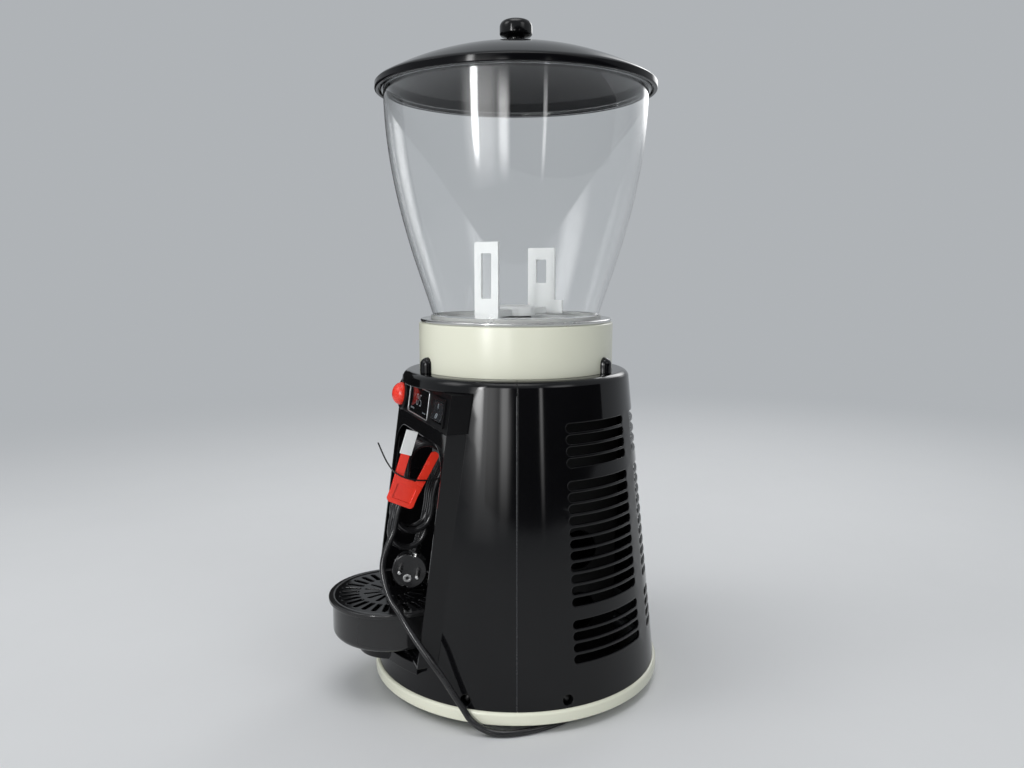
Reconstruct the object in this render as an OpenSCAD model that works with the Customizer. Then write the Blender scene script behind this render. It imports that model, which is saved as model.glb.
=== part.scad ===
// Refrigerated drink dispenser: a louvred round body on a pale base ring, a clear mixing bowl on a
// pale collar, and a cup niche with a tap and a round drip tray. Millimetres, +Z up, front faces -Y.

/* [Base] */
// Height of the rubber feet below the base ring
feet_h = 9; // [7:0.5:14]
// Radius of one rubber foot
foot_r = 16; // [12:1:20]
// Outer radius of the pale base ring
ring_r = 160; // [158:1:172]
// Height of the pale base ring
ring_h = 13; // [11:1:20]

/* [Body] */
// Radius of the body where it stands on the base ring
body_base_r = 156.8; // [152:0.2:157]
// Radius of the body at the top ledge
body_top_r = 123.5; // [119:0.5:128]
// Height of the body from the base ring to the top ledge
body_h = 322; // [310:1:340]
// Wall of the moulded shells
shell_wall = 3; // [2:0.5:4]
// Rounding of the top ridge
ridge_r = 8; // [5:0.5:10]
// Angle of the front shell about the axis
front_span = 137; // [130:1:142]
// Gap at the two upright seams, in degrees
seam_gap = 0.25; // [0.1:0.05:0.5]

/* [Louvres] */
// Angle that one louvre set covers
louvre_span = 37.5; // [30:0.5:40]
// Angle from one louvre set to the next
louvre_step = 47.2; // [46:0.2:50]
// Height of one louvre slot
slot_h = 9; // [5:0.5:9]
// Step from one slot to the next
slot_pitch = 11.5; // [10.5:0.25:11.75]
// Number of slots in the long middle group
slot_count = 11; // [6:1:11]
// Number of slots in each short group
slot_count_short = 4; // [2:1:4]
// Height of the lowest slot above the base ring
louvre_z = 42; // [38:1:46]
// Plain band between the groups of slots
group_gap = 13.5; // [12:0.5:16]

/* [Front] */
// Half width of the flat front
front_w2 = 93; // [90:1:95]
// Distance from the axis to the flat front at the foot of the control head
front_q = 110; // [109:0.2:112]
// Lean of the flat front, in millimetres per millimetre of height
front_lean = 0.14; // [0.13:0.005:0.15]
// Distance from the top ledge down to the foot of the control head
head_z = 52; // [48:1:56]
// Height of the control head
head_h = 39; // [36:1:41]
// Height of the top of the niche opening below the control head
lintel_h = 15; // [12:1:18]
// Radius of the top corners of the niche opening
niche_corner = 34; // [20:1:40]
// Height of the niche floor above the base ring
niche_z = 39; // [36:1:42]
// Distance from the axis to the niche back wall
niche_q = 50; // [48:1:52]
// Wall of the niche liner
liner_wall = 2.5; // [2:0.25:3]

/* [Drip tray] */
// Distance from the body's foot in to the middle of the drip tray
tray_q = 14.8; // [8:0.2:16]
// Radius of the drip tray rim
tray_rim_r = 70; // [66:1:74]
// Width of the rim beyond the tray wall
tray_lip = 4; // [3:0.5:5]
// Height of the drip tray
tray_h = 43; // [40:1:46]
// Wall of the drip tray
tray_wall = 2.5; // [2:0.5:3.5]
// Number of slots in the outer ring of the grille
grille_slots = 30; // [20:2:32]
// Thickness of the grille
grille_t = 3; // [2:0.5:4]
// Radius of the tray support under the tray
shelf_r = 42; // [36:1:46]
// Thickness of the tray support
shelf_t = 13; // [10:1:14]

/* [Collar and bowl] */
// Outer radius of the pale collar
collar_r = 106; // [104:0.5:108]
// Height of the pale collar
collar_h = 51.4; // [46:0.2:56]
// Wall of the collar
collar_wall = 5; // [4:0.5:6]
// Radius of the steel plate
plate_r = 104.5; // [102:0.5:106]
// Thickness of the steel plate
plate_t = 4.1; // [3:0.1:6]
// Height of the bowl gasket
gasket_h = 3; // [2:0.5:5]
// Outer radius of the bowl at its foot
bowl_foot_r = 91; // [88:1:94]
// Outer radius of the bowl at its rim
bowl_rim_r = 140; // [136:1:142]
// Height of the bowl
bowl_h = 238; // [220:1:255]
// Wall of the bowl
bowl_wall = 3; // [2.5:0.5:4]
// Outer radius of the lid
lid_r = 148.8; // [147:0.2:152]
// Height of the lid skirt
lid_skirt = 8.6; // [7:0.2:12]
// Rise of the lid dome above its skirt
lid_rise = 38; // [30:1:46]
// Radius of the lid knob
knob_r = 17.3; // [14:0.1:20]
// Height of the lid knob
knob_h = 28; // [24:1:34]

/* [Mixer] */
// Radius of the drive shaft
shaft_r = 6; // [5:0.5:8]
// Distance from the axis to the mixer paddles
paddle_q = 58; // [52:1:62]
// Height of the taller paddle
paddle_h = 78; // [60:1:84]
// Width of the taller paddle
paddle_w = 29; // [26:1:34]
// Thickness of the paddles
paddle_t = 3; // [2.5:0.5:4]

/* [Tap] */
// Distance from the axis to the spout
tap_q = 88; // [86:1:90]
// Outer radius of the spout
spout_r = 9; // [8:0.5:10]
// Length of the spout below the niche ceiling
spout_l = 64; // [50:1:70]
// Length of the cup lever
lever_l = 104; // [90:1:110]
// Width of the cup lever pad
lever_w = 44; // [30:1:50]

/* [Controls] */
// Width of the display window
display_w = 76; // [60:1:78]
// Height of the display window
display_h = 31; // [24:1:32]
// Distance from the middle of the head to the middle of the display window, to the user's left
display_x = 15; // [12:1:16]
// Width of the rocker switch
rocker_w = 36; // [24:1:38]
// Height of the rocker switch
rocker_h = 25; // [20:1:28]
// Distance from the middle of the head to the rocker switch, to the user's right
rocker_x = 62; // [58:1:66]
// Radius of the push button bezel
bezel_r = 18; // [15:0.5:18.5]
// Radius of the push button dome
button_r = 13; // [10:0.5:14]
// Distance from the middle of the head to the push button, to the user's left
button_x = 71; // [70:1:72]
// Height of the push button dome above the flat front
button_h = 15.5; // [12:0.5:20]

/* [Clearances] */
// Gap between pieces that part company, such as the bowl and its gasket
part_gap = 0.3; // [0.2:0.05:0.4]
// Gap round a piece that is screwed or clipped into another
fit_gap = 0.3; // [0.2:0.05:0.4]
// Radial running clearance of a shaft in its bore
run_gap = 0.05; // [0.03:0.01:0.08]

/* [Mains lead] */
// Diameter of the mains lead
cord_d = 6.4; // [6:0.1:6.6]
// Number of loops in the hank
hank_loops = 4; // [2:1:4]
// Step from one loop of the hank to the next
hank_step = 7.1; // [7:0.1:7.3]
// Radius of the folds of the hank, at the middle of the lead
hank_fold = 19.2; // [19:0.1:20]
// Straight run of the shorter loops of the hank
hank_run = 56; // [52:1:60]
// Extra run of every second loop of the hank
hank_slack = 20; // [10:1:22]
// Lean of the hank from upright
hank_lean = 13; // [12:0.5:14]
// How far the runs of the hank are drawn in under the tie
hank_waist = 3; // [0:0.5:4]

/* [Hidden] */
$fn = 96;

// Heights above the table
ring_z1 = feet_h + ring_h;
ledge_z = ring_z1 + body_h;
plate_z = ledge_z + collar_h;
floor_z = plate_z + plate_t;
bowl_z = floor_z + gasket_h + part_gap;
rim_z = bowl_z + bowl_h;
head_z0 = ledge_z - head_z;
head_z1 = head_z0 + head_h;
head_mid = (head_z0 + head_z1) / 2;
lintel_z = head_z0 - lintel_h;
niche_z0 = ring_z1 + niche_z;
tray_z = niche_z0 + liner_wall + part_gap;
tray_z1 = tray_z + tray_h;

// The object's box is centred on the origin, so the body's axis stands a little behind it
tray_at = body_base_r - tray_q;
axis_y = (tray_at + tray_rim_r - ring_r) / 2;

// Radius of the body and depth of the flat front at a height
function body_r(z) = body_base_r - (z - ring_z1) * (body_base_r - body_top_r) / body_h;
function front_at(z) = front_q + (head_z0 - z) * front_lean;
front_tilt = atan(front_lean);

// Base
pan_t = 4;
pan_z = ring_z1 - 6;
pan_flange = 2;
pan_inset = 10.6;
pan_r = body_base_r - pan_inset;
foot_q = 112;
screw_turn = 19;
screw_z = ring_z1 + 8;
screw_head_r = 4.6;
screw_r = 2;
recess_r = 5.5;
boss_r = 8;
boss_l = 8;
lug_w = 16;
lug_d = 12;

// Shells
ledge_r = 92;
seam_a = front_span / 2;
louvre_sets = 4;
louvre_q = body_top_r * cos(louvre_span / 2) - shell_wall;

// Collar and clips
shelf_drop = 30;
clip_turns = [-82, 38, 158];
clip_w = 12;
clip_h = 16;
clip_d = 5.5;
foam_r0 = 70;
outlet_q = 78;
outlet_r = 6;
hose_r = 7.5;
seal_r = 13;

// Bowl and lid
bowl_bulge_z = 0.53;
bowl_steps = 18;
rim_lip = 3;
rim_lip_h = 4;
lid_wall = 3;
knob_stem_r = 10;

// Mixer
hub_r = 21;
hub_h = 11;
arm_h = 7;
arm_w = 14;
mixer_gap = 1.5;
mixer_turn = -53;
paddle_extra = 6;
paddle_step = 4;
tab_w = 10;
tab_h = 15;

// Drive
frame_w2 = 66;
frame_t = 3;
frame_y0 = -40;
frame_y1 = 90;
frame_top = ledge_z - 6;
frame_holes = [60, 130];
frame_hole_r = 22;
gearbox_neck_r = 19.5;
gearbox_h = 42;
gearbox_w = 84;
gearbox_d = 68;
motor_r = 31;
motor_l = 74;

// Cooling
comp_y = 42;
comp_r = 50;
comp_h = 118;
mount_h = 10;
mount_r = 9;
mount_q = 44;
cond_w2 = frame_w2 - 4;
cond_y0 = 74;
cond_t = 20;
cond_rise = 143;
cond_z0 = ring_z1 + cond_rise;
cond_h = 120;
fins = 18;
fan_r = 52;
fan_hub_r = 17;
fan_t = 12;
fan_shaft_l = 12;
fan_shaft_in = 2;
fan_z = cond_z0 + cond_h / 2;
fan_y1 = cond_y0 - 2;
shroud_t = 16;
fan_blades_n = 7;

// Tap
tap_r = 12;
tap_h = 30;
spout_bore = 6;
plunger_r = spout_bore - run_gap;
plunger_l = 26;
ceiling_z = head_z0 - part_gap;
lever_t = 4;
lever_q = tap_q - spout_r - lever_t - 6;
pivot_z = ceiling_z - liner_wall - 7;
pin_r = 2.5;
lug_gap = 6;

// Controls
rocker_t = 9;
lens_t = 2;
board_t = 1.6;
bezel_h = 5;
button_travel = 4;

// Mains lead: the route from the gland under the base to the hank, in the axis's own frame
cord_r = cord_d / 2;
cord_points = [
    [90, 28, 8], [97, 28, 8], [104, 28, 8], [120, 25, 5], [135, 14, 3.6], [145, -4, 3.4], [150, -26, 3.4],
    [151, -46, 3.4], [149, -64, 3.4], [144, -79, 4.2], [138, -90, 7.5], [131, -100, 15], [125, -107, 27],
    [119, -115, 41], [112, -124, 57], [104, -135, 74], [93, -144, 89], [82, -151, 102], [71, -156, 112],
    [62, -161, 121], [53, -164, 133], [46, -165, 146], [41.5, -163, 157], [38, -158.5, 167],
    [35.5, -153.5, 176]
];
hank_x = 13.5;
hank_top = [-114.2, 253.6];
hank_sides = 6;
hank_fold_steps = 7;
plug_turn = -19;
plug_r = 18.5;
plug_d = 23;
plug_lean = 17.2;
plug_at = [hank_x - hank_step, -126, 131];
relief_l = 25;
relief_ribs = 6;
pin_l = 19;
clip_x = hank_x + (hank_loops - 1) * hank_step + cord_r + fit_gap;

// Shared shapes

module place() {
    translate([0, axis_y, 0]) children();
}

// Points of an arc, from one angle to another
function arc(cx, cy, r, a0, a1, n) = [for (i = [0:n]) let (a = a0 + (a1 - a0) * i / n)
    [cx + r * cos(a), cy + r * sin(a)]];

// A point on a cubic curve with four control points
function curve(p, t) = pow(1 - t, 3) * p[0] + 3 * pow(1 - t, 2) * t * p[1]
    + 3 * (1 - t) * t * t * p[2] + pow(t, 3) * p[3];

function reversed(list) = [for (i = [len(list) - 1:-1:0]) list[i]];

// A solid between two values of X, with its side view given as [distance in front of the axis, height]
module side_prism(x0, x1, points) {
    translate([x0, 0, 0]) rotate([90, 0, 90]) linear_extrude(x1 - x0)
        polygon([for (p = points) [-p[0], p[1]]]);
}

// Children are drawn on the flat front: X to the user's right, Y up, Z out of the front
module on_front(x, z) {
    translate([x, -front_at(z), z]) rotate([90 - front_tilt, 0, 0]) children();
}

// A slot with round ends along X
module slot_2d(w, h) {
    square([w - h, h], center = true);
    for (s = [-1, 1]) translate([s * (w - h) / 2, 0]) circle(d = h);
}

module rounded_2d(w, h, r) {
    square([w - 2 * r, h], center = true);
    square([w, h - 2 * r], center = true);
    for (x = [-1, 1], y = [-1, 1]) translate([x * (w / 2 - r), y * (h / 2 - r)]) circle(r);
}

// Swept tube: one ring of points for each step of a path, joined by triangles
function unit(v) = v / norm(v);
function tangent(p, i) = unit(p[min(i + 1, len(p) - 1)] - p[max(i - 1, 0)]);
function side_of(t) = unit(cross(t, abs(t[0]) > 0.8 ? [0, 0, 1] : [1, 0, 0]));
function ring(p, t, r, n, s) = [for (k = [0:n - 1]) let (a = 360 * k / n)
    p + r * (cos(a) * s + sin(a) * cross(t, s))];

// Sides carried along the path without twisting
function carried(p, i, s, out) = i == len(p) ? out
    : let (t = tangent(p, i), c = unit(s - (s * t) * t)) carried(p, i + 1, c, concat(out, [c]));

module tube(p, r, n) {
    m = len(p);
    sides = carried(p, 0, side_of(tangent(p, 0)), []);
    points = [for (i = [0:m - 1]) each ring(p[i], tangent(p, i), r, n, sides[i])];
    walls = [for (i = [0:m - 2], k = [0:n - 1]) let (a = i * n + k, b = i * n + (k + 1) % n)
        each [[a, b, a + n], [b, b + n, a + n]]];
    caps = [for (k = [1:n - 2]) each [[0, k + 1, k], [(m - 1) * n, (m - 1) * n + k, (m - 1) * n + k + 1]]];
    polyhedron([for (q = points) q], [for (f = concat(walls, caps)) reversed(f)]);
}

// A smooth path through points chosen by hand, with a few steps between each pair
function spline_at(p, i, u) = let (
        a = p[max(i - 1, 0)], b = p[i], c = p[i + 1], d = p[min(i + 2, len(p) - 1)])
    0.5 * (2 * b + u * (c - a) + u * u * (2 * a - 5 * b + 4 * c - d) + pow(u, 3) * (3 * b - a - 3 * c + d));
function smooth(p, n) = concat(
    [for (i = [0:len(p) - 2], k = [0:n - 1]) spline_at(p, i, k / n)], [p[len(p) - 1]]);

// Base

module base_pan() {
    color("dimgray") place() {
        difference() {
            rotate_extrude() polygon([
                [0, pan_z], [pan_r, pan_z], [pan_r, ring_z1], [pan_r + 6, ring_z1],
                [pan_r + 6, ring_z1 + pan_flange], [pan_r - pan_flange, ring_z1 + pan_flange],
                [pan_r - pan_flange, pan_z + pan_t], [0, pan_z + pan_t]
            ]);
            for (a = [45:90:315]) rotate([0, 0, a]) translate([foot_q, 0, 0])
                cylinder(r = screw_r + fit_gap, h = ring_z1);
            for (a = screw_angles()) rotate([0, 0, a]) translate([lug_r(), 0, screw_z]) rotate([0, 90, 0])
                cylinder(r = boss_r + fit_gap, h = ring_r);
        }
        for (a = screw_angles()) rotate([0, 0, a]) difference() {
            translate([lug_r() - lug_d, -lug_w / 2, pan_z + pan_t])
                cube([lug_d, lug_w, screw_z + lug_w / 2 - pan_z - pan_t]);
            translate([lug_r() + 1, 0, screw_z]) rotate([0, -90, 0])
                cylinder(r = screw_r + 0.1, h = lug_d - 1);
        }
    }
}

function screw_angles() = [for (s = [-1, 1], side = [-1, 1]) -90 + side * (seam_a + s * screw_turn)];
function lug_r() = body_r(screw_z) - shell_wall - boss_l - fit_gap;

module base_ring() {
    color("ivory") place() rotate_extrude() polygon(concat(
        [[pan_r + fit_gap, feet_h]],
        arc(ring_r - 2, feet_h + 2, 2, -90, 0, 4), arc(ring_r - 3, ring_z1 - 3, 3, 0, 90, 5),
        [[pan_r + fit_gap, ring_z1]]));
}

module feet() {
    color("black") place() for (a = [45:90:315]) rotate([0, 0, a]) translate([foot_q, 0, 0]) difference() {
        rotate_extrude() polygon([
            [0, 0], [foot_r - 3, 0], [foot_r, 4], [foot_r, feet_h - 1], [foot_r - 2, pan_z], [0, pan_z]
        ]);
        translate([0, 0, -1]) cylinder(r = foot_r / 3, h = 4);
    }
}

// Shells

// Section of the shell wall, with its rounded ridge and the ledge that carries the collar
module shell_section() {
    z = ledge_z - ridge_r;
    r = body_r(z) - ridge_r;
    polygon(concat(
        [[body_base_r, ring_z1]], arc(r, z, ridge_r, 0, 90, 6), [[ledge_r, ledge_z],
        [ledge_r, ledge_z - shell_wall]],
        arc(r, z, ridge_r - shell_wall, 90, 0, 6), [[body_base_r - shell_wall, ring_z1]]));
}

// Bosses and recessed holes for the shell screws
module screw_bosses(angles) {
    for (a = angles) rotate([0, 0, a]) translate([body_r(screw_z) - shell_wall - boss_l, 0, screw_z])
        rotate([0, 90, 0]) cylinder(r = boss_r, h = boss_l + shell_wall / 2);
}

module screw_holes(angles) {
    for (a = angles) rotate([0, 0, a]) translate([body_r(screw_z) - shell_wall - boss_l, 0, screw_z])
        rotate([0, 90, 0]) {
            translate([0, 0, -1]) cylinder(r = screw_r + 0.4, h = boss_l);
            translate([0, 0, shell_wall]) cylinder(r = recess_r, h = boss_l + shell_wall);
        }
}

function front_screws() = [for (a = screw_angles()) if (abs(a + 90) < seam_a) a];
function rear_screws() = [for (a = screw_angles()) if (abs(a + 90) > seam_a) a];

function slot_w(z) = 2 * body_r(z) * sin(louvre_span / 2);
function group_z(g) = ring_z1 + louvre_z + slot_h / 2
    + (g == 0 ? 0 : slot_count_short * slot_pitch + group_gap - slot_pitch + slot_h)
    + (g < 2 ? 0 : slot_count * slot_pitch + group_gap - slot_pitch + slot_h);

// One louvre set: three groups of slots that narrow with the body
module louvre_set() {
    for (g = [0:2]) {
        for (i = [0:(g == 1 ? slot_count : slot_count_short) - 1]) {
            z = group_z(g) + i * slot_pitch;
            translate([0, z]) slot_2d(slot_w(z), slot_h);
        }
    }
}

module rear_shell() {
    color("black") place() difference() {
        union() {
            rotate([0, 0, seam_a - 90 + seam_gap]) rotate_extrude(angle = 360 - 2 * (seam_a + seam_gap))
                shell_section();
            screw_bosses(rear_screws());
        }
        for (i = [0:louvre_sets - 1]) rotate([0, 0, 90 + (i - (louvre_sets - 1) / 2) * louvre_step])
            translate([louvre_q, 0, 0]) rotate([90, 0, 90]) linear_extrude(body_base_r) louvre_set();
        screw_holes(rear_screws());
    }
}

// Outline of the niche opening, seen from the front
module niche_outline(w2, z0, z1, r) {
    translate([-w2, z0]) square([2 * w2, z1 - r - z0]);
    translate([-w2 + r, z0]) square([2 * (w2 - r), z1 - z0]);
    for (s = [-1, 1]) translate([s * (w2 - r), z1 - r]) circle(r);
}

shelf_z0 = niche_z0 - shelf_t;
cheek_x = front_w2 - liner_wall;

// Depth of the body's surface at a distance from the middle
function body_q(x, z) = sqrt(pow(body_r(z), 2) - x * x);

// Foot of the block that carries the niche, below its floor
sill_z0 = niche_z0 - shell_wall - fit_gap;
sill_z1 = niche_z0 - fit_gap;
block_q0 = body_q(front_w2, niche_z0) - 2 * shell_wall;
head_q0 = body_q(front_w2, head_z0) - 2 * shell_wall;

module front_shell() {
    color("black") place() difference() {
        union() {
            difference() {
                rotate([0, 0, -90 - seam_a]) rotate_extrude(angle = 2 * seam_a) shell_section();
                side_prism(-cheek_x, cheek_x, [
                    [niche_q, sill_z1], [2 * ring_r, sill_z1], [2 * ring_r, head_z0], [niche_q, head_z0]
                ]);
                side_prism(-front_w2 - fit_gap, front_w2 + fit_gap, [
                    [niche_q, head_z0], [2 * ring_r, head_z0], [2 * ring_r, head_z1 + fit_gap],
                    [niche_q, head_z1 + fit_gap]
                ]);
            }
            for (s = [0, 1]) mirror([s, 0, 0]) side_prism(cheek_x, front_w2, [
                [block_q0, sill_z0], [front_at(sill_z0), sill_z0], [front_at(head_z0), head_z0],
                [head_q0, head_z0]
            ]);
            side_prism(-front_w2, front_w2, [
                [block_q0, sill_z0], [front_at(sill_z0), sill_z0], [front_at(sill_z1), sill_z1],
                [block_q0, sill_z1]
            ]);
            lintel();
            screw_bosses(front_screws());
        }
        screw_holes(front_screws());
    }
}

// Band over the niche opening, with its arched lower edge
module lintel() {
    z0 = lintel_z - niche_corner;
    difference() {
        side_prism(-front_w2, front_w2, [
            [front_at(z0) - shell_wall, z0], [front_at(z0), z0], [front_at(head_z0), head_z0],
            [front_at(head_z0) - shell_wall, head_z0]
        ]);
        rotate([90, 0, 0]) linear_extrude(2 * ring_r)
            niche_outline(cheek_x, niche_z0, lintel_z, niche_corner);
    }
}

module shell_screws() {
    color("silver") place() for (a = screw_angles()) rotate([0, 0, a])
        translate([body_r(screw_z) - boss_l, 0, screw_z]) rotate([0, 90, 0]) {
            translate([0, 0, -2 * boss_l + shell_wall]) cylinder(r = screw_r, h = 2 * boss_l - shell_wall);
            rotate_extrude() polygon(concat([[0, 0],
                [screw_head_r, 0]], arc(0, 0.6, screw_head_r, 0, 90, 4)));
        }
}

// Front

liner_w2 = cheek_x - fit_gap;
liner_r = 30;

// Room of the niche at a distance inside the liner's outer face
module niche_room(inset, z0, z1) {
    d = 2 * ring_r;
    translate([0, -niche_q + liner_wall - inset - d / 2, z0]) linear_extrude(z1 - z0)
        rounded_2d(2 * (liner_w2 - inset), d, liner_r - inset);
}

module niche_liner() {
    color("gray") place() difference() {
        union() {
            difference() {
                intersection() {
                    niche_room(0, niche_z0, ceiling_z);
                    side_prism(-front_w2, front_w2, [
                        [0, niche_z0], [front_at(niche_z0) - shell_wall - fit_gap, niche_z0],
                        [front_at(head_z0) - shell_wall - fit_gap, head_z0], [0, head_z0]
                    ]);
                }
                niche_room(liner_wall, niche_z0 + liner_wall, ceiling_z - liner_wall);
            }
            for (s = [-1, 1]) translate([s * (lever_w / 2 + fit_gap + lug_gap / 2), -pivot_q, 0])
                lever_ear();
        }
        translate([0, -tap_q, ceiling_z - 2 * liner_wall])
            cylinder(r = spout_r + fit_gap, h = 3 * liner_wall);
        translate([-front_w2, -pivot_q, pivot_z]) rotate([0, 90, 0])
            cylinder(r = pin_r + run_gap, h = 2 * front_w2);
    }
}

// Ear under the niche ceiling that holds the lever's pin
module lever_ear() {
    translate([-lug_gap / 2, 0, pivot_z]) rotate([0, 90, 0]) cylinder(r = 2 * pin_r, h = lug_gap);
    translate([-lug_gap / 2, -2 * pin_r, pivot_z])
        cube([lug_gap, 4 * pin_r, ceiling_z - liner_wall / 2 - pivot_z]);
}

module control_head() {
    z0 = head_z0 + fit_gap;
    color("dimgray") place() {
        difference() {
            side_prism(-front_w2, front_w2, [
                [head_q0, z0], [front_at(z0), z0], [front_at(head_z1), head_z1], [head_q0, head_z1]
            ]);
            side_prism(-front_w2 + shell_wall, front_w2 - shell_wall, [
                [0, z0 + shell_wall], [front_at(z0) - shell_wall, z0 + shell_wall],
                [front_at(head_z1) - shell_wall, head_z1 - shell_wall], [0, head_z1 - shell_wall]
            ]);
            on_front(-display_x, display_z) {
                translate([0, 0, -lens_t]) linear_extrude(2 * lens_t)
                    rounded_2d(display_w + 2 * fit_gap, display_h + 2 * fit_gap, 3);
                translate([0, 0, -3 * shell_wall]) linear_extrude(6 * shell_wall)
                    rounded_2d(display_w - 8, display_h - 8, 2);
            }
            on_front(rocker_x, rocker_z) translate([0, 0, -3 * shell_wall]) linear_extrude(6 * shell_wall)
                square([rocker_w + 2 * fit_gap, rocker_h + 2 * fit_gap], center = true);
            on_front(-button_x, button_z) translate([0, 0, -3 * shell_wall])
                cylinder(r = button_neck_r + fit_gap, h = 6 * shell_wall);
            translate([0, -tap_q, head_z0 - 1]) cylinder(r = tap_r + fit_gap, h = head_h + 2);
        }
        for (x = [-1, 1], y = [-1, 1]) on_front(-display_x, display_z)
            translate([x * (display_w / 2 - 3), y * (board_h / 2 - 2.5), -board_q])
                cylinder(r = 2.5, h = board_q - (shell_wall + lens_t) / 2);
    }
}

button_z = head_mid - 1;
display_z = head_mid - 1.5;
rocker_z = head_mid - 1;
button_neck_r = button_r + 1.8;
board_q = 6.5;
board_h = display_h - 5;

module display_lens() {
    color("darkslategray") place() on_front(-display_x, display_z) translate([0, 0, -lens_t])
        linear_extrude(lens_t) rounded_2d(display_w, display_h, 3);
}

module display_board() {
    color("green") place() on_front(-display_x, display_z) {
        translate([-display_w / 2, -board_h / 2, -board_q - board_t]) cube([display_w, board_h, board_t]);
        translate([-display_w / 2 + 10, -board_h / 2 + 6, -board_q])
            cube([display_w - 20, board_h - 12, board_q - shell_wall - fit_gap]);
    }
}

// Depth of the rocker's pivot behind the front, and the room that the rocker swings in
rocker_pivot = 3;
rocker_wall = 2;
rocker_pin_r = 1.5;
case_l = 14;
case_lip = 2;

module switch_case() {
    color("black") place() on_front(rocker_x, rocker_z) difference() {
        union() {
            translate([-rocker_w / 2, -rocker_h / 2, -case_l])
                cube([rocker_w, rocker_h, case_l + case_lip]);
            linear_extrude(case_lip)
                rounded_2d(rocker_w + 2 * case_lip, rocker_h + 2 * case_lip, case_lip);
        }
        translate([-rocker_w / 2 + rocker_wall, -rocker_h / 2 + rocker_wall - 0.5, -rocker_pivot - 7])
            cube([rocker_w - 2 * rocker_wall, rocker_h - 2 * rocker_wall + 1, case_l]);
        translate([-rocker_w / 2 + fit_gap, 0, -rocker_pivot]) rotate([0, 90, 0])
            cylinder(r = rocker_pin_r + run_gap, h = rocker_w - 2 * fit_gap);
    }
}

rocker_rest = 7;

module rocker() {
    w = rocker_w - 2 * rocker_wall - 2 * fit_gap;
    y = rocker_h / 2 - rocker_wall - 1;
    color("dimgray") place() on_front(rocker_x, rocker_z) translate([0, 0, -rocker_pivot])
        rotate([-rocker_rest, 0, 0]) {
            translate([-w / 2, 0, 0]) rotate([90, 0, 90]) linear_extrude(w)
                polygon(concat([[y, 0], [y, 6], [0, 5], [-y, 6], [-y, 0]], arc(0, 0, 6, 180, 360, 8)));
            translate([-rocker_w / 2 + 2 * fit_gap, 0, 0]) rotate([0, 90, 0])
                cylinder(r = rocker_pin_r, h = rocker_w - 4 * fit_gap);
        }
}

module button_bezel() {
    back = button_seat + button_travel + part_gap;
    color("black") place() on_front(-button_x, button_z) rotate_extrude() polygon(concat(
        [[0, -back - 1], [button_neck_r, -back - 1], [button_neck_r, 0], [bezel_r, 0]],
        arc(bezel_r - 2, bezel_h - 2, 2, 0, 90, 4),
        [[button_r + run_gap, bezel_h], [button_r + run_gap, -back], [0, -back]]));
}

button_seat = 2.5;

module push_button() {
    color("red") place() on_front(-button_x, button_z) rotate_extrude() polygon(concat(
        [[0, -button_seat], [button_r, -button_seat]],
        [for (p = arc(0, 0, 1, 0, 90, 8)) [button_r * p[0], bezel_h + (button_h - bezel_h) * p[1]]]));
}

// Drip tray

support_turn = 30;
support_d = 8;
support_top = niche_z0 + liner_wall;
support_z0 = sill_z0 - fit_gap - shelf_t + 2;

module tray_support() {
    z1 = sill_z0 - fit_gap;
    color("black") place() difference() {
        union() {
            difference() {
                translate([0, -tray_at, support_z0])
                    cylinder(r1 = shelf_r - 3, r2 = shelf_r, h = support_top - support_z0);
                side_prism(-front_w2 - fit_gap, front_w2 + fit_gap, [
                    [0, z1], [front_at(sill_z0) + fit_gap, z1], [front_at(head_z0) + fit_gap, head_z0],
                    [0, head_z0]
                ]);
            }
            rotate([0, 0, -90 - support_turn]) rotate_extrude(angle = 2 * support_turn) polygon([
                [body_r(support_z0) - shell_wall, support_z0], [body_r(support_z0) + support_d, support_z0],
                [body_r(z1) + support_d, z1], [body_r(z1) - shell_wall, z1]
            ]);
        }
        rotate_extrude() polygon([
            [0, ring_z1], [body_base_r + fit_gap, ring_z1], [body_r(head_z0) + fit_gap, head_z0], [0, head_z0]
        ]);
    }
}

tray_r = tray_rim_r - tray_lip;
tray_round = 8;
rim_h = 5;
grille_drop = 0.8;
grille_edge = 5;
grille_ring = 38;
grille_inner = 23.5;
grille_inner_l = 19;
grille_z = tray_z1 - grille_drop - grille_t;

module drip_tray() {
    w = tray_wall;
    color("black") place() translate([0, -tray_at, 0]) rotate_extrude() polygon(concat(
        [[0, tray_z]], arc(tray_r - tray_round, tray_z + tray_round, tray_round, -90, 0, 5),
        [[tray_r, tray_z1 - rim_h]], arc(tray_rim_r - 1, tray_z1 - rim_h + 1, 1, -90, 0, 3),
        arc(tray_rim_r - 1, tray_z1 - 1, 1, 0, 90, 3),
        [[tray_r - w, tray_z1], [tray_r - w, grille_z], [tray_r - 2 * w, grille_z],
        [tray_r - 2 * w, grille_z - 2],
         [tray_r - w, grille_z - 2 - w]],
        arc(tray_r - tray_round, tray_z + tray_round, tray_round - w, 0, -90, 5), [[0, tray_z + w]]));
}

module tray_grille() {
    slot = 0.62 * 2 * PI * grille_ring / grille_slots;
    r = tray_r - tray_wall - fit_gap;
    r1 = r - grille_edge;
    color("dimgray") place() translate([0, -tray_at, grille_z]) linear_extrude(grille_t) difference() {
        circle(r);
        for (i = [0:grille_slots - 1]) rotate(360 * i / grille_slots) translate([(r1 + grille_ring) / 2, 0])
            slot_2d(r1 - grille_ring, slot);
        for (i = [0:grille_slots / 2 - 1]) rotate(720 * i / grille_slots) translate([grille_inner, 0])
            slot_2d(grille_inner_l, 0.75 * slot);
    }
}

// Collar and cold plate

shelf_z1 = ledge_z + collar_h - shelf_drop;

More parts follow.
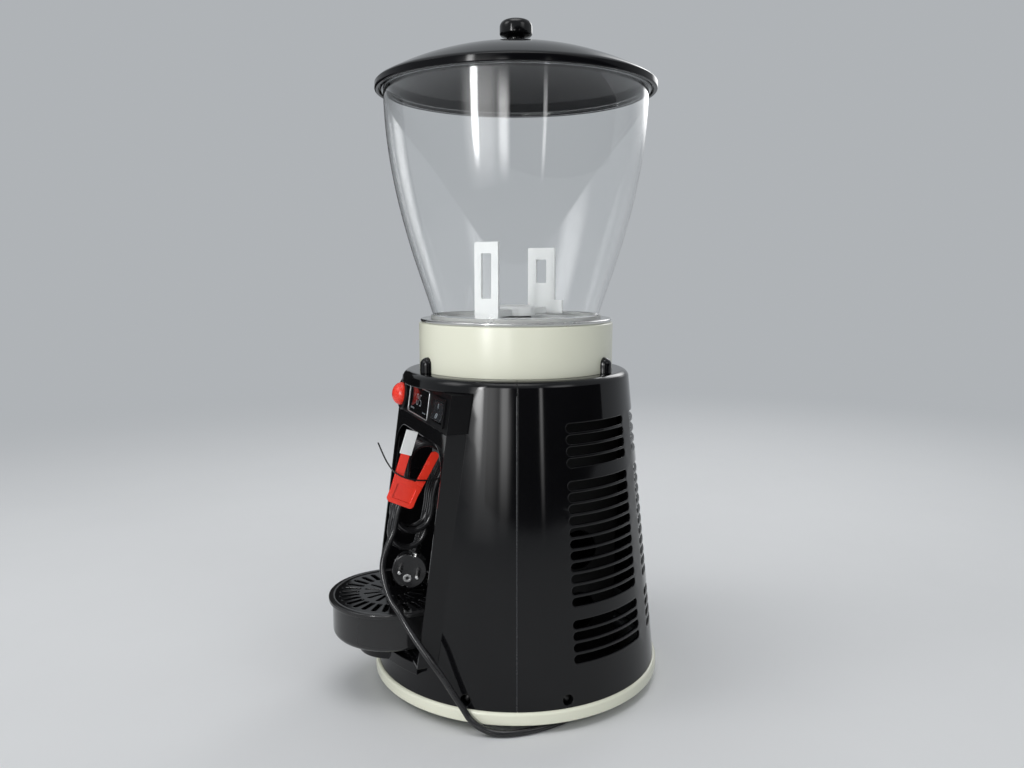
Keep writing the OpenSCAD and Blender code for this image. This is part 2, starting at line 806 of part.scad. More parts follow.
module collar() {
    color("ivory") place() rotate_extrude() polygon(concat(
        [[collar_r, ledge_z]], arc(collar_r - 1.5, plate_z - 1.5, 1.5, 0, 90, 4),
        [[collar_r - collar_wall, plate_z], [collar_r - collar_wall, shelf_z1], [ledge_r, shelf_z1],
         [ledge_r, shelf_z1 - 3], [collar_r - collar_wall, shelf_z1 - 3],
         [collar_r - collar_wall, ledge_z]]));
}

module collar_clips() {
    color("black") place() for (a = clip_turns) rotate([0, 0, a]) difference() {
        translate([collar_r - clip_d, 0, ledge_z]) rotate([90, 0, 90])
            linear_extrude(2 * clip_d + fit_gap) {
            translate([-clip_w / 2, 0]) square([clip_w, clip_h - clip_w / 2]);
            translate([0, clip_h - clip_w / 2]) circle(clip_w / 2);
        }
        translate([0, 0, ledge_z - 1]) cylinder(r = collar_r + fit_gap, h = collar_h);
    }
}

module foam_ring() {
    color("khaki") place() difference() {
        translate([0, 0, shelf_z1]) cylinder(r = collar_r - collar_wall - fit_gap,
            h = plate_z - fit_gap - shelf_z1);
        translate([0, 0, shelf_z1 - 1]) cylinder(r = foam_r0, h = collar_h);
        translate([0, -outlet_q, shelf_z1 - 1]) cylinder(r = hose_r + fit_gap, h = collar_h);
    }
}

module steel_plate() {
    color("silver") place() difference() {
        rotate_extrude() polygon(concat(
            [[seal_r + fit_gap, plate_z], [plate_r - 1, plate_z]], arc(plate_r - 1.5, floor_z - 1.5,
            1.5, 0, 90, 4),
            [[seal_r + fit_gap, floor_z]]));
        translate([0, -outlet_q, plate_z - 1]) cylinder(r = outlet_r, h = plate_t + 2);
    }
}

coil_r = 4;
coils = [34, 46, 58];

module evaporator() {
    color("peru") place() {
        translate([0, 0, plate_z - 3]) difference() {
            cylinder(r = foam_r0 - 2, h = 3);
            translate([0, 0, -1]) cylinder(r = 25, h = 5);
        }
        for (r = coils) rotate_extrude() translate([r, plate_z - 3 - coil_r + 0.6])
            circle(coil_r, $fn = 24);
    }
}

module shaft_seal() {
    color("black") place() difference() {
        union() {
            translate([0, 0, plate_z - 6]) cylinder(r = seal_r, h = plate_t + 6);
            translate([0, 0, floor_z]) cylinder(r = seal_r + 4, h = 1.4);
        }
        translate([0, 0, plate_z - 10]) cylinder(r = shaft_r + run_gap, h = plate_t + 20);
    }
}

module bowl_gasket() {
    color("black") place() translate([0, 0, floor_z]) difference() {
        cylinder(r = bowl_foot_r + 2, h = gasket_h);
        translate([0, 0, -1]) cylinder(r = bowl_foot_r - bowl_wall - 2.5, h = gasket_h + 2);
    }
}

// Bowl and lid

bowl_curve = [
    [bowl_foot_r, bowl_z], [bowl_foot_r + 10, bowl_z + 0.155 * bowl_h],
    [bowl_rim_r - 0.5, bowl_z + bowl_bulge_z * bowl_h], [bowl_rim_r, rim_z - rim_lip_h]
];

module bowl() {
    outer = [for (i = [0:bowl_steps]) curve(bowl_curve, i / bowl_steps)];
    inner = [for (p = reversed(outer)) [p[0] - bowl_wall, p[1]]];
    color("lightcyan", 0.4) place() rotate_extrude() polygon(concat(
        outer, [[bowl_rim_r + rim_lip, rim_z - rim_lip_h], [bowl_rim_r + rim_lip, rim_z],
                [bowl_rim_r - bowl_wall, rim_z]], inner));
}

lid_z0 = rim_z - rim_lip_h;
lid_z1 = lid_z0 + lid_skirt;
lid_seat = rim_z + part_gap;
lid_edge = 1.8;
lid_flat = 12;
cap_r = (pow(lid_r - lid_edge, 2) + lid_rise * lid_rise) / (2 * lid_rise);
cap_z = lid_z1 + lid_rise - cap_r;
function cap_at(r, inset) = cap_z + sqrt(pow(cap_r - inset, 2) - r * r);
knob_z = cap_at(lid_flat, 0);
knob_hole = 2.3;

module lid() {
    r_in = bowl_rim_r - 4;
    a0 = acos((lid_r - lid_edge) / cap_r);
    a1 = acos(lid_flat / cap_r);
    b1 = acos(lid_flat / (cap_r - lid_wall));
    b0 = acos(r_in / (cap_r - lid_wall));
    color("black") place() rotate_extrude() polygon(concat(
        [[lid_r, lid_z0], [lid_r, lid_z1 - lid_edge]],
        arc(0, cap_z, cap_r, a0, a1, 14), [[knob_hole, knob_z], [knob_hole, cap_at(lid_flat, lid_wall)]],
        arc(0, cap_z, cap_r - lid_wall, b1, b0, 14),
        [[r_in, lid_seat], [bowl_rim_r + rim_lip + 2, lid_seat], [bowl_rim_r + rim_lip + 2, lid_z0]]));
}

module lid_knob() {
    cap = knob_h * 0.58;
    z1 = knob_z + knob_h;
    color("black") place() rotate_extrude() polygon(concat(
        [[knob_screw_r + run_gap, knob_z], [knob_stem_r, knob_z], [knob_stem_r - 1, z1 - cap - 2]],
        arc(knob_r - 3, z1 - cap + 3, 3, -90, 0, 4), arc(knob_r - 7, z1 - 7, 7, 0, 90, 6),
        [[0, z1], [0, knob_z + 12], [knob_screw_r + run_gap, knob_z + 12]]));
}

knob_screw_r = 2;

module knob_screw() {
    z = cap_at(lid_flat, lid_wall);
    color("silver") place() {
        translate([0, 0, z - 3]) cylinder(r1 = 4, r2 = 5, h = 3);
        translate([0, 0, z - 1]) cylinder(r = knob_screw_r, h = lid_wall + 11);
    }
}

// Mixer

hub_z = floor_z + 1.4 + mixer_gap;

module drive_shaft() {
    z0 = frame_top - frame_t - gearbox_h + 8;
    color("silver") place() translate([0, 0, z0]) cylinder(r = shaft_r, h = hub_z + hub_h - 2 - z0);
}

module mixer_hub() {
    color("white") place() difference() {
        union() {
            translate([0, 0, hub_z]) rotate_extrude() polygon(concat(
                [[0, 0], [hub_r, 0]], arc(hub_r - 3, hub_h - 3, 3, 0, 90, 4), [[0, hub_h]]));
            rotate([0, 0, mixer_turn]) translate([-paddle_q + paddle_t / 2, -arm_w / 2, hub_z])
                cube([2 * paddle_q - paddle_t, arm_w, arm_h]);
        }
        translate([0, 0, hub_z - 1]) cylinder(r = shaft_r + run_gap, h = hub_h - 1);
    }
}

// A paddle stands across the end of its arm, with a window
module paddle(w, h, window_w, window_h, window_z) {
    translate([paddle_q - paddle_t / 2, 0, hub_z]) rotate([90, 0, 90]) linear_extrude(paddle_t)
        difference() {
        translate([0, h / 2]) rounded_2d(w, h, 2);
        translate([0, window_z]) rounded_2d(window_w, window_h, 1.5);
    }
}

module paddle_long() {
    color("white") place() rotate([0, 0, mixer_turn])
        paddle(paddle_w, paddle_h, 0.42 * paddle_w, 0.6 * paddle_h, 0.55 * paddle_h);
}

module paddle_short() {
    w = paddle_w + paddle_extra;
    h = paddle_h - paddle_step;
    color("white") place() rotate([0, 0, mixer_turn + 180]) {
        paddle(w, h, 0.38 * w, 0.36 * h, 0.64 * h);
        translate([paddle_q - paddle_t / 2, -w / 2 - tab_w, hub_z]) cube([paddle_t, tab_w + w / 4, tab_h]);
    }
}

// Drive and frame

module inner_frame() {
    z0 = pan_z + pan_t;
    z1 = frame_top - frame_t;
    color("gray") place() difference() {
        union() {
            for (s = [0, 1]) mirror([s, 0, 0]) translate([frame_w2, 0, z0])
                cube([frame_t, frame_y1, z1 - z0]);
            translate([-frame_w2 - frame_t, frame_y0, z1])
                cube([2 * (frame_w2 + frame_t), frame_y1 - frame_y0, frame_t]);
        }
        translate([0, 0, z1 - 1]) cylinder(r = gearbox_neck_r + 0.5, h = frame_t + 2);
        for (s = [-1, 1]) translate([s * pipe_x, pipe_y, z1 - 1]) cylinder(r = coil_r + 2, h = frame_t + 2);
        for (z = frame_holes) translate([-2 * frame_w2, frame_y1 / 2, z0 + z]) rotate([0, 90, 0])
            cylinder(r = frame_hole_r, h = 4 * frame_w2);
    }
}

pipe_x = 55;
pipe_y = 20;

module gearbox() {
    z1 = frame_top - frame_t;
    color("slategray") place() difference() {
        union() {
            translate([0, 0, z1 - gearbox_h]) linear_extrude(gearbox_h) rounded_2d(gearbox_w, gearbox_d, 8);
            translate([0, 0, z1 - 1]) cylinder(r = gearbox_neck_r, h = frame_t + 3);
        }
        translate([0, 0, z1 - gearbox_h + 8]) cylinder(r = shaft_r + run_gap, h = gearbox_h + 10);
    }
}

module gear_motor() {
    z1 = frame_top - frame_t - gearbox_h;
    color("dimgray") place() translate([0, 0, z1 - motor_l]) {
        translate([0, 0, 8]) cylinder(r = motor_r, h = motor_l - 8);
        cylinder(r1 = motor_r - 10, r2 = motor_r - 6, h = 9);
    }
}

// Cooling

comp_z = pan_z + pan_t + mount_h;

module compressor() {
    color("black") place() translate([0, comp_y, comp_z]) {
        linear_extrude(3) rounded_2d(2 * mount_q + 20, 2 * mount_q + 20, 9);
        rotate_extrude() polygon(concat(
            [[0, 2], [comp_r - 10, 2]], arc(comp_r - 12, 16, 12, -60, 0, 4),
            [[comp_r, comp_h / 2 - 2], [comp_r + 3, comp_h / 2 - 2], [comp_r + 3, comp_h / 2 + 2]],
            [for (p = arc(0, 0, 1, 0, 90, 8)) [comp_r * p[0], comp_h * 0.62 + comp_h * 0.38 * p[1]]]));
    }
}

module compressor_mounts() {
    color("black") place() for (x = [-1, 1], y = [-1, 1])
        translate([x * mount_q, comp_y + y * mount_q, pan_z + pan_t]) rotate_extrude() polygon([
            [0, 0], [mount_r, 0], [mount_r, 3], [mount_r - 2, 4], [mount_r - 2, mount_h - 4],
            [mount_r, mount_h - 3],
            [mount_r, mount_h], [0, mount_h]
        ]);
}

module condenser() {
    tube_r = 4;
    tubes = 5;
    color("silver") place() translate([0, cond_y0, cond_z0]) {
        for (i = [0:fins - 1]) translate([-cond_w2 + (i + 0.5) * 2 * cond_w2 / fins - 0.5, 0, 0])
            cube([1, cond_t, cond_h]);
        for (s = [0, 1]) mirror([s, 0, 0]) translate([cond_w2, 0, 0])
            cube([frame_w2 - cond_w2, cond_t, cond_h]);
        for (i = [0:tubes - 1]) translate([-cond_w2 - 1, cond_t / 2, (i + 0.5) * cond_h / tubes])
            rotate([0, 90, 0])
            cylinder(r = tube_r, h = 2 * cond_w2 + 2);
    }
}

module fan_shroud() {
    y0 = cond_y0 - shroud_t;
    color("black") place() difference() {
        translate([-cond_h / 2, y0, cond_z0]) cube([cond_h, shroud_t, cond_h]);
        translate([0, y0 - 1, fan_z]) rotate([-90, 0, 0]) cylinder(r = fan_r + 4, h = shroud_t + 2);
    }
}

fan_motor_l = 20;
fan_shaft_r = 3;
fan_arm = 12;

module fan_motor() {
    y1 = cond_y0 - shroud_t;
    color("gray") place() translate([0, y1, fan_z]) rotate([90, 0, 0]) difference() {
        union() {
            cylinder(r = fan_hub_r - 1, h = fan_motor_l);
            for (a = [45:90:315]) rotate([0, 0, a]) translate([0, -3, 0]) cube([fan_r + fan_arm, 6, 3]);
        }
        translate([0, 0, -1]) cylinder(r = fan_shaft_r + run_gap, h = fan_motor_l - 4);
    }
}

module fan_blades() {
    y0 = cond_y0 - shroud_t + 4;
    color("white") place() translate([0, y0, fan_z]) rotate([-90, 0, 0]) {
        cylinder(r = fan_hub_r, h = fan_t - 2);
        translate([0, 0, -fan_shaft_l]) cylinder(r = fan_shaft_r, h = fan_shaft_l + fan_shaft_in);
        intersection() {
            cylinder(r = fan_r, h = fan_t - 2);
            for (i = [0:fan_blades_n - 1]) rotate([0, 0, 360 * i / fan_blades_n])
                translate([fan_hub_r - 2, 0, fan_t / 2 - 1])
                rotate([30, 0, 0]) translate([0, -14, -1]) cube([fan_r, 28, 2]);
        }
    }
}

// Pipes: where they lie is chosen by hand, as on a bench
pipe_r = 3;
pipe_z1 = plate_z - 3 - 2 * coil_r + 0.6 - fit_gap;

pipe_thin_r = 2.4;
comp_in_h = 76;
comp_in_z = comp_z + comp_in_h;
comp_out_h = 50;
comp_out_z = comp_z + comp_out_h;
cond_x = cond_w2 + 0.9;
cond_z1 = cond_z0 + cond_h - 13;

function between(a, b, t) = a + (b - a) * t;

// A point at the side of the compressor, on its right or left
function comp_side(s, z, r) = [s * r * 0.928, comp_y - r * 0.371, z];

module suction_pipe() {
    color("peru") place() tube(smooth([
        [pipe_x, pipe_y, pipe_z1], [pipe_x, pipe_y, pipe_z1 - 30],
        [pipe_x, pipe_y, between(comp_in_z, pipe_z1, 0.55)],
        [pipe_x, pipe_y, between(comp_in_z, pipe_z1, 0.27)],
        [pipe_x, pipe_y, comp_in_z + 16], [pipe_x - 1, pipe_y + 0.4, comp_in_z + 6],
        [pipe_x - 4, pipe_y + 1.6, comp_in_z + 1], comp_side(1, comp_in_z, comp_r + fit_gap)
    ], 2), pipe_r, 8);
}

module discharge_pipe() {
    color("peru") place() tube(smooth([
        comp_side(-1, comp_out_z, comp_r + fit_gap), [-comp_r - 2, pipe_y + 1, comp_out_z + 1],
        [-comp_r - 7, pipe_y, comp_out_z + 5], [-comp_r - 11, pipe_y + 1, comp_out_z + 15],
        [-cond_x + 0.1, pipe_y + 4, comp_out_z + 30], [-cond_x, pipe_y + 15, cond_z0 - 25],
        [-cond_x, pipe_y + 30, cond_z0], [-cond_x, cond_y0 - 12, cond_z0 + 10],
        [-cond_x, cond_y0 - fit_gap, cond_z0 + 13]
    ], 2), pipe_thin_r, 8);
}

module liquid_pipe() {
    color("peru") place() tube(smooth([
        [-cond_x, cond_y0 - fit_gap, cond_z1], [-cond_x, cond_y0 - 12, cond_z1],
        [-cond_x + 0.4, pipe_y + 30, cond_z1 + 4],
        [-pipe_x - 5, pipe_y + 16, between(cond_z1, pipe_z1, 0.16)],
        [-pipe_x - 1, pipe_y + 4, between(cond_z1, pipe_z1, 0.35)],
        [-pipe_x, pipe_y, between(cond_z1, pipe_z1, 0.51)],
        [-pipe_x, pipe_y, between(cond_z1, pipe_z1, 0.69)], [-pipe_x, pipe_y, pipe_z1]
    ], 2), pipe_thin_r, 8);
}

// Tap

pivot_q = lever_q + lever_t / 2;
tap_z1 = ceiling_z + tap_h;

module outlet_hose() {
    z0 = tap_z1 + 10;
    z1 = plate_z - 28;
    color("white") place() tube(smooth([
        [0, -outlet_q, plate_z - fit_gap], [0, -outlet_q, plate_z - 10], [0, -outlet_q, z1],
        [0, -between(outlet_q, tap_q, 0.2), between(z1, z0, 0.43)],
        [0, -between(outlet_q, tap_q, 0.6), between(z1, z0, 0.77)], [0, -tap_q + 0.6, z0],
        [0, -tap_q, tap_z1 + 5],
        [0, -tap_q, tap_z1 + fit_gap]
    ], 2), hose_r - 0.5, 10);
}

module tap_body() {
    color("gray") place() translate([0, -tap_q, ceiling_z]) difference() {
        cylinder(r = tap_r, h = tap_h);
        translate([-2 * tap_r, -3 * tap_r, -1]) cube([4 * tap_r, 3 * tap_r - spout_r, tap_h + 2]);
        translate([0, 0, -1]) cylinder(r = spout_bore, h = tap_h + 2);
    }
}

spout_z0 = ceiling_z - liner_wall - spout_l;

module spout() {
    color("black") place() translate([0, -tap_q, spout_z0]) difference() {
        cylinder(r = spout_r, h = ceiling_z - spout_z0);
        translate([0, 0, -1]) cylinder(r = spout_bore, h = ceiling_z - spout_z0 + 2);
    }
}

module valve_plunger() {
    color("white") place() translate([0, -tap_q, spout_z0 + 14]) rotate_extrude() polygon([
        [0, 0], [plunger_r - 2, 0], [plunger_r, 4], [plunger_r, plunger_l], [0, plunger_l]
    ]);
}

module cup_lever() {
    color("dimgray") place() translate([0, -pivot_q, pivot_z]) difference() {
        union() {
            translate([-lever_w / 2, 0, 0]) rotate([0, 90, 0]) cylinder(r = 2 * pin_r, h = lever_w);
            translate([0, lever_t / 2, 0]) rotate([90, 0, 0]) linear_extrude(lever_t) {
                translate([-lever_w / 2, -lever_l + 12]) square([lever_w, lever_l - 12]);
                translate([0, -lever_l + 12]) rounded_2d(lever_w, 24, 11);
            }
        }
        translate([-lever_w / 2 - 1, 0, 0]) rotate([0, 90, 0])
            cylinder(r = pin_r + run_gap, h = lever_w + 2);
    }
}

module lever_pin() {
    l = lever_w + 2 * (fit_gap + lug_gap);
    color("silver") place() translate([-l / 2, -pivot_q, pivot_z]) rotate([0, 90, 0])
        cylinder(r = pin_r, h = l);
}

// Mains lead

cord_at = cord_points[0];
gland_l = 14;
gland_r = 5.5;

module cord_gland() {
    color("black") place() translate([cord_at[0] - gland_l, cord_at[1], cord_at[2]]) {
        rotate([0, 90, 0]) cylinder(r = gland_r, h = gland_l);
        translate([0, -gland_r, 0]) cube([gland_l, 2 * gland_r, pan_z - cord_at[2]]);
    }
}

// Loops of the hank lie side by side: up and front are directions in the plane of a loop
up = [0, sin(hank_lean), cos(hank_lean)];
front = [0, -cos(hank_lean), sin(hank_lean)];
function loop_x(j) = hank_x + (hank_loops - 1 - j) * hank_step;
function loop_run(j) = hank_run + (j % 2 == 0 ? hank_slack : 0);
function hank_at(x, u, v) = [x, hank_top[0], hank_top[1]] + u * up + v * front;
function along(u) = min(1, max(0, -u / hank_run));
function drawn(u) = hank_fold - hank_waist * pow(sin(180 * along(u)), 2);
run_steps = 4;
end_run = hank_run + 6;

function rising(x, u0) = [for (k = [1:run_steps]) let (u = u0 * (1 - k / (run_steps + 1)))
    hank_at(x, u, drawn(u))];
function falling(j, u1) = [for (k = [1:run_steps]) let (u = u1 * k / (run_steps + 1))
    hank_at(loop_x(j) - hank_step * along(u), u, -drawn(u))];
function top_fold(j) = [for (p = arc(0, 0, hank_fold, 0, 180, hank_fold_steps))
    hank_at(loop_x(j), p[1], p[0])];
function low_fold(j) = [for (p = arc(0, 0, hank_fold, 180, 360, hank_fold_steps))
    hank_at(loop_x(j), p[1] - loop_run(j), p[0])];

hank_path = concat(
    [hank_at(loop_x(0), -end_run, hank_fold), hank_at(loop_x(0), -hank_run, hank_fold)],
    rising(loop_x(0), -hank_run),
    [for (j = [0:hank_loops - 2]) each concat(
        top_fold(j), falling(j, -loop_run(j + 1)), low_fold(j + 1), rising(loop_x(j + 1),
            -loop_run(j + 1)))],
    top_fold(hank_loops - 1), falling(hank_loops - 1, -hank_run),
    [hank_at(loop_x(hank_loops), -hank_run, -hank_fold), hank_at(loop_x(hank_loops), -end_run,
    -hank_fold)]);

// Least gap of the hank to itself, from each point to the runs that lie past its own fold
function to_run(p, a, b) = let (t = min(1, max(0, (p - a) * (b - a) / ((b - a) * (b - a)))))
    norm(p - a - t * (b - a));
hank_gap = min([for (i = [0:len(hank_path) - 1], k = [0:len(hank_path) - 2]) if (abs(i - k) > 6)
    to_run(hank_path[i], hank_path[k], hank_path[k + 1])]) - cord_d;
echo(hank_gap = hank_gap);

hank_in = hank_path[0];
hank_out = hank_path[len(hank_path) - 1];

module cord_run() {
    color("black") place() tube(smooth(concat(cord_points, [hank_in - 14 * up, hank_in - 7 * up,
        hank_in]), 3),
        cord_r, 8);
}

module cord_hank() {
    color("black") place() tube(hank_path, cord_r, hank_sides);
}

relief_up = [0, sin(plug_lean), cos(plug_lean)];
relief_top = plug_at + (plug_r + relief_l) * relief_up;

module cord_tail() {
    color("black") place() tube(smooth([
        hank_out, hank_out - 3.5 * up, hank_out - 7 * up, relief_top + 7 * relief_up,
            relief_top + 3.5 * relief_up, relief_top
    ], 3), cord_r, 8);
}

module at_plug() {
    translate(plug_at) rotate([-plug_lean, 0, 0]) rotate([0, 0, plug_turn]) children();
}

module plug_relief() {
    pitch = (relief_l - 3) / relief_ribs;
    color("black") place() at_plug() translate([0, 0, plug_r]) rotate_extrude($fn = 32) polygon(concat(
        [[0, 0.3], [5.6, 0.3]],
        [for (i = [0:relief_ribs - 1]) each [
            [5.6 - 0.15 * i, 2 + i * pitch], [4.2, 2.4 + i * pitch], [4.2, 1.6 + (i + 1) * pitch],
            [5.6 - 0.15 * (i + 1), 2 + (i + 1) * pitch]]],
        [[4.4, relief_l], [0, relief_l]]));
}

module mains_plug() {
    color("black") place() at_plug() {
        rotate([0, 90, 0]) difference() {
            translate([0, 0, -plug_d / 2]) rotate_extrude() polygon(concat(
                [[0, 0], [plug_r - 6, 0]], arc(plug_r - 5, 5, 5, -60, 0, 4), [[plug_r, plug_d - 1],
                [plug_r - 1, plug_d],
                [0, plug_d]]));
            for (s = [-1, 1]) translate([s * plug_r, 0, 0]) cylinder(r = 2.6, h = plug_d);
        }
        for (s = [-1, 1]) translate([plug_d / 2 - 1, 9.5 * s, 0]) rotate([0, 90, 0]) {
            cylinder(r = 2.4, h = pin_l);
            translate([0, 0, pin_l]) cylinder(r1 = 2.4, r2 = 1.4, h = 1.2);
        }
        translate([-5, -6, plug_r - 3]) cube([10, 12, 3]);
    }
}

// Clip on the hank, drawn flat against the outer loop
clip_lean = 25;
clip_y = -139.4;
clip_z = 225.3;
clip_t = 2.6;
leg_w = 9;
leg_l = 37;

module at_clip() {
    translate([clip_x, clip_y, clip_z]) rotate([-clip_lean, 0, 0]) rotate([90, 0, 90]) children();
}

// The two legs of the clip spread a little
module left_leg() {
    translate([-10.5, 0]) rotate(7) translate([-leg_w / 2, 0]) children();
}

module right_leg() {
    translate([10.5, 0]) rotate(-5) translate([-leg_w / 2, 0]) children();
}

module cord_clip() {
    color("red") place() at_clip() {
        difference() {
            linear_extrude(clip_t) {
                rounded_2d(30, 28, 4);
                left_leg() square([leg_w, leg_l]);
                right_leg() square([leg_w, leg_l + 9]);
                right_leg() translate([leg_w / 2, leg_l + 9]) circle(leg_w / 2);
            }
            translate([0, -1, clip_t - 1.3]) linear_extrude(clip_t) rounded_2d(21, 16, 2);
        }
    }
}

module clip_tag() {
    color("white") place() at_clip() linear_extrude(clip_t) left_leg() translate([-1.5, leg_l])
        square([leg_w + 3, 25]);
}

// Wire tie round the waist of the hank and the spout
tie_r = 0.8;
tie_points = [
    [20, -161, 275], [27, -158.5, 266], [36, -155, 256], [43.5, -148.5, 247], [44.2, -134, 239.5],
    [43, -116, 236.5],
    [37, -97, 236], [25, -83, 236], [10, -77.2, 236.5], [0, -77.2, 237], [-8, -80.5, 237],
    [-11, -88, 237.5],
    [-9, -98, 238], [-2, -112, 239], [4, -126, 240], [8, -136, 241], [16, -140.5, 242], [26, -141, 243],
    [34, -142, 245]
];

module twist_tie() {
    color("black") place() tube(smooth(tie_points, 2), tie_r, 6);
}

base_pan();
base_ring();
feet();
rear_shell();
front_shell();
shell_screws();
niche_liner();
control_head();
display_lens();
display_board();
switch_case();
rocker();
button_bezel();
push_button();
tray_support();
drip_tray();
tray_grille();
collar();
collar_clips();
foam_ring();
steel_plate();
evaporator();
shaft_seal();
bowl_gasket();
bowl();
lid();
lid_knob();
knob_screw();
drive_shaft();
mixer_hub();
paddle_long();
paddle_short();
inner_frame();
gearbox();
gear_motor();
compressor();
compressor_mounts();
condenser();
fan_shroud();
fan_motor();
fan_blades();
suction_pipe();
discharge_pipe();
liquid_pipe();
outlet_hose();
tap_body();
spout();
valve_plunger();
cup_lever();
lever_pin();
cord_gland();
cord_run();
cord_hank();
cord_tail();
plug_relief();
mains_plug();
cord_clip();
clip_tag();
twist_tie();
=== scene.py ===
import math

import bmesh
import bpy
from mathutils import Matrix, Vector


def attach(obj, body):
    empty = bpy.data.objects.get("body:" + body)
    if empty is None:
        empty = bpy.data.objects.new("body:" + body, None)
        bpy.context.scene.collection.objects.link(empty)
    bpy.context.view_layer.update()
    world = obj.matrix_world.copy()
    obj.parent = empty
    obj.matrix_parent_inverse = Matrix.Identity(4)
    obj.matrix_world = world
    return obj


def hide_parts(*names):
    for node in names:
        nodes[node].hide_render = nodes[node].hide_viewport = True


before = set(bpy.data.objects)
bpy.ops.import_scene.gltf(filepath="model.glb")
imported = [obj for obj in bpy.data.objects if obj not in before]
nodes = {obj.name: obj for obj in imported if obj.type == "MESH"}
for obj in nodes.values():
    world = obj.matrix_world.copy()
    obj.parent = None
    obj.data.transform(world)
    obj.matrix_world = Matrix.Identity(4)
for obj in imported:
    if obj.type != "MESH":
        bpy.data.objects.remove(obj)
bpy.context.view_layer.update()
scene = bpy.context.scene

# Sizes of pieces are in millimetres round the body's axis, as in part.scad. Radii of tubes, shifts by matrix
# and the stage are in metres. The axis stands this far behind the origin of the frame.
AXIS_Y = 0.026
AXIS = Matrix.Translation((0, AXIS_Y, 0))


def row(p):
    """A point of part.scad, in the frame."""
    return Vector((p[0] / 1000, p[1] / 1000 + AXIS_Y, p[2] / 1000))


def show(name, data):
    """A new object in the scene."""
    obj = bpy.data.objects.new(name, data)
    scene.collection.objects.link(obj)
    return obj


def aim(obj, direction):
    """Turns a camera or a lamp to look along a direction."""
    obj.rotation_euler = direction.to_track_quat("-Z", "Y").to_euler()


def steps(a, b, n):
    """Values from a to b, in n even steps."""
    return [a + (b - a) * i / n for i in range(n + 1)]


# Camera, as solved from the round outlines in the photograph

IMAGE_W = 1024
FOCAL_PX = 854.68
SENSOR_W = 36.0
VIEW_TURN = math.radians(158.255)
VIEW_PITCH = math.radians(7.765)

camera_data = bpy.data.cameras.new("camera")
camera_data.sensor_width = SENSOR_W
camera_data.lens = FOCAL_PX / IMAGE_W * SENSOR_W
camera_data.clip_start = 0.02
camera = show("camera", camera_data)
camera.location = (0.8738, -0.35305 + AXIS_Y, 0.4539)
aim(camera, Vector((math.cos(VIEW_TURN) * math.cos(VIEW_PITCH), math.sin(VIEW_TURN) * math.cos(VIEW_PITCH),
                    -math.sin(VIEW_PITCH))))
scene.camera = camera
scene.view_settings.view_transform = "Standard"


# Mains cord, on the route of part.scad: from the base to the hank, through its loops, and down to the plug

CORD_D = 0.0064
CORD_STEPS = 6
# Straight length where one stretch of the cord runs into the next
EASE = 7
HANK_LOOPS = 4
HANK_X = 13.5
HANK_Y = -114.2
HANK_Z = 253.6
HANK_STEP = 7.1
HANK_FOLD = 19.2
HANK_RUN = 56
HANK_SLACK = 20
HANK_WAIST = 3
HANK_END = HANK_RUN + 6
FOLD_STEPS = 6
RUN_STEPS = 5
HANK_LEAN = math.radians(13)
UP = Vector((0, math.sin(HANK_LEAN), math.cos(HANK_LEAN)))
FRONT = Vector((0, -math.cos(HANK_LEAN), math.sin(HANK_LEAN)))


def hank_at(x, u, v):
    """A point of the hank: u up and v to the front, in the plane of a loop."""
    return Vector((x, HANK_Y, HANK_Z)) + u * UP + v * FRONT


def loop_x(j):
    return HANK_X + (HANK_LOOPS - 1 - j) * HANK_STEP


def loop_run(j):
    return HANK_RUN + (HANK_SLACK if j % 2 == 0 else 0)


def along(u):
    return min(1, max(0, -u / HANK_RUN))


def drawn(u):
    """Half the depth of a loop, which the tie draws in."""
    return HANK_FOLD - HANK_WAIST * math.sin(math.pi * along(u)) ** 2


def fold(x, u0, start):
    turns = [math.radians(a) for a in steps(start, start + 180, FOLD_STEPS)]
    return [hank_at(x, u0 + HANK_FOLD * math.sin(a), HANK_FOLD * math.cos(a)) for a in turns]


def rising(x, u0):
    us = [u0 * (1 - k / RUN_STEPS) for k in range(1, RUN_STEPS)]
    return [hank_at(x, u, drawn(u)) for u in us]


def falling(j, u1):
    us = [u1 * k / RUN_STEPS for k in range(1, RUN_STEPS)]
    return [hank_at(loop_x(j) - HANK_STEP * along(u), u, -drawn(u)) for u in us]


hank = [hank_at(loop_x(0), -HANK_END, HANK_FOLD), hank_at(loop_x(0), -HANK_RUN, HANK_FOLD)]
hank += rising(loop_x(0), -HANK_RUN)
for j in range(HANK_LOOPS - 1):
    foot = -loop_run(j + 1)
    hank += fold(loop_x(j), 0, 0) + falling(j, foot)
    hank += fold(loop_x(j + 1), foot, 180) + rising(loop_x(j + 1), foot)
hank += fold(loop_x(HANK_LOOPS - 1), 0, 0) + falling(HANK_LOOPS - 1, -HANK_RUN)
hank += [hank_at(loop_x(HANK_LOOPS), -u, -HANK_FOLD) for u in (HANK_RUN, HANK_END)]

lead = [Vector(p) for p in (
    (90, 28, 8), (97, 28, 8), (104, 28, 8), (120, 25, 5), (135, 14, 3.6), (145, -4, 3.4),
    (150, -26, 3.4), (151, -46, 3.4), (149, -64, 3.4), (144, -79, 4.2), (138, -90, 7.5),
    (131, -100, 15), (125, -107, 27), (119, -115, 41), (112, -124, 57), (104, -135, 74),
    (93, -144, 89), (82, -151, 102), (71, -156, 112), (62, -161, 121), (53, -164, 133),
    (46, -165, 146), (41.5, -163, 157), (38, -158.5, 167), (35.5, -153.5, 176))]
lead += [hank[0] - 2 * EASE * UP, hank[0] - EASE * UP]

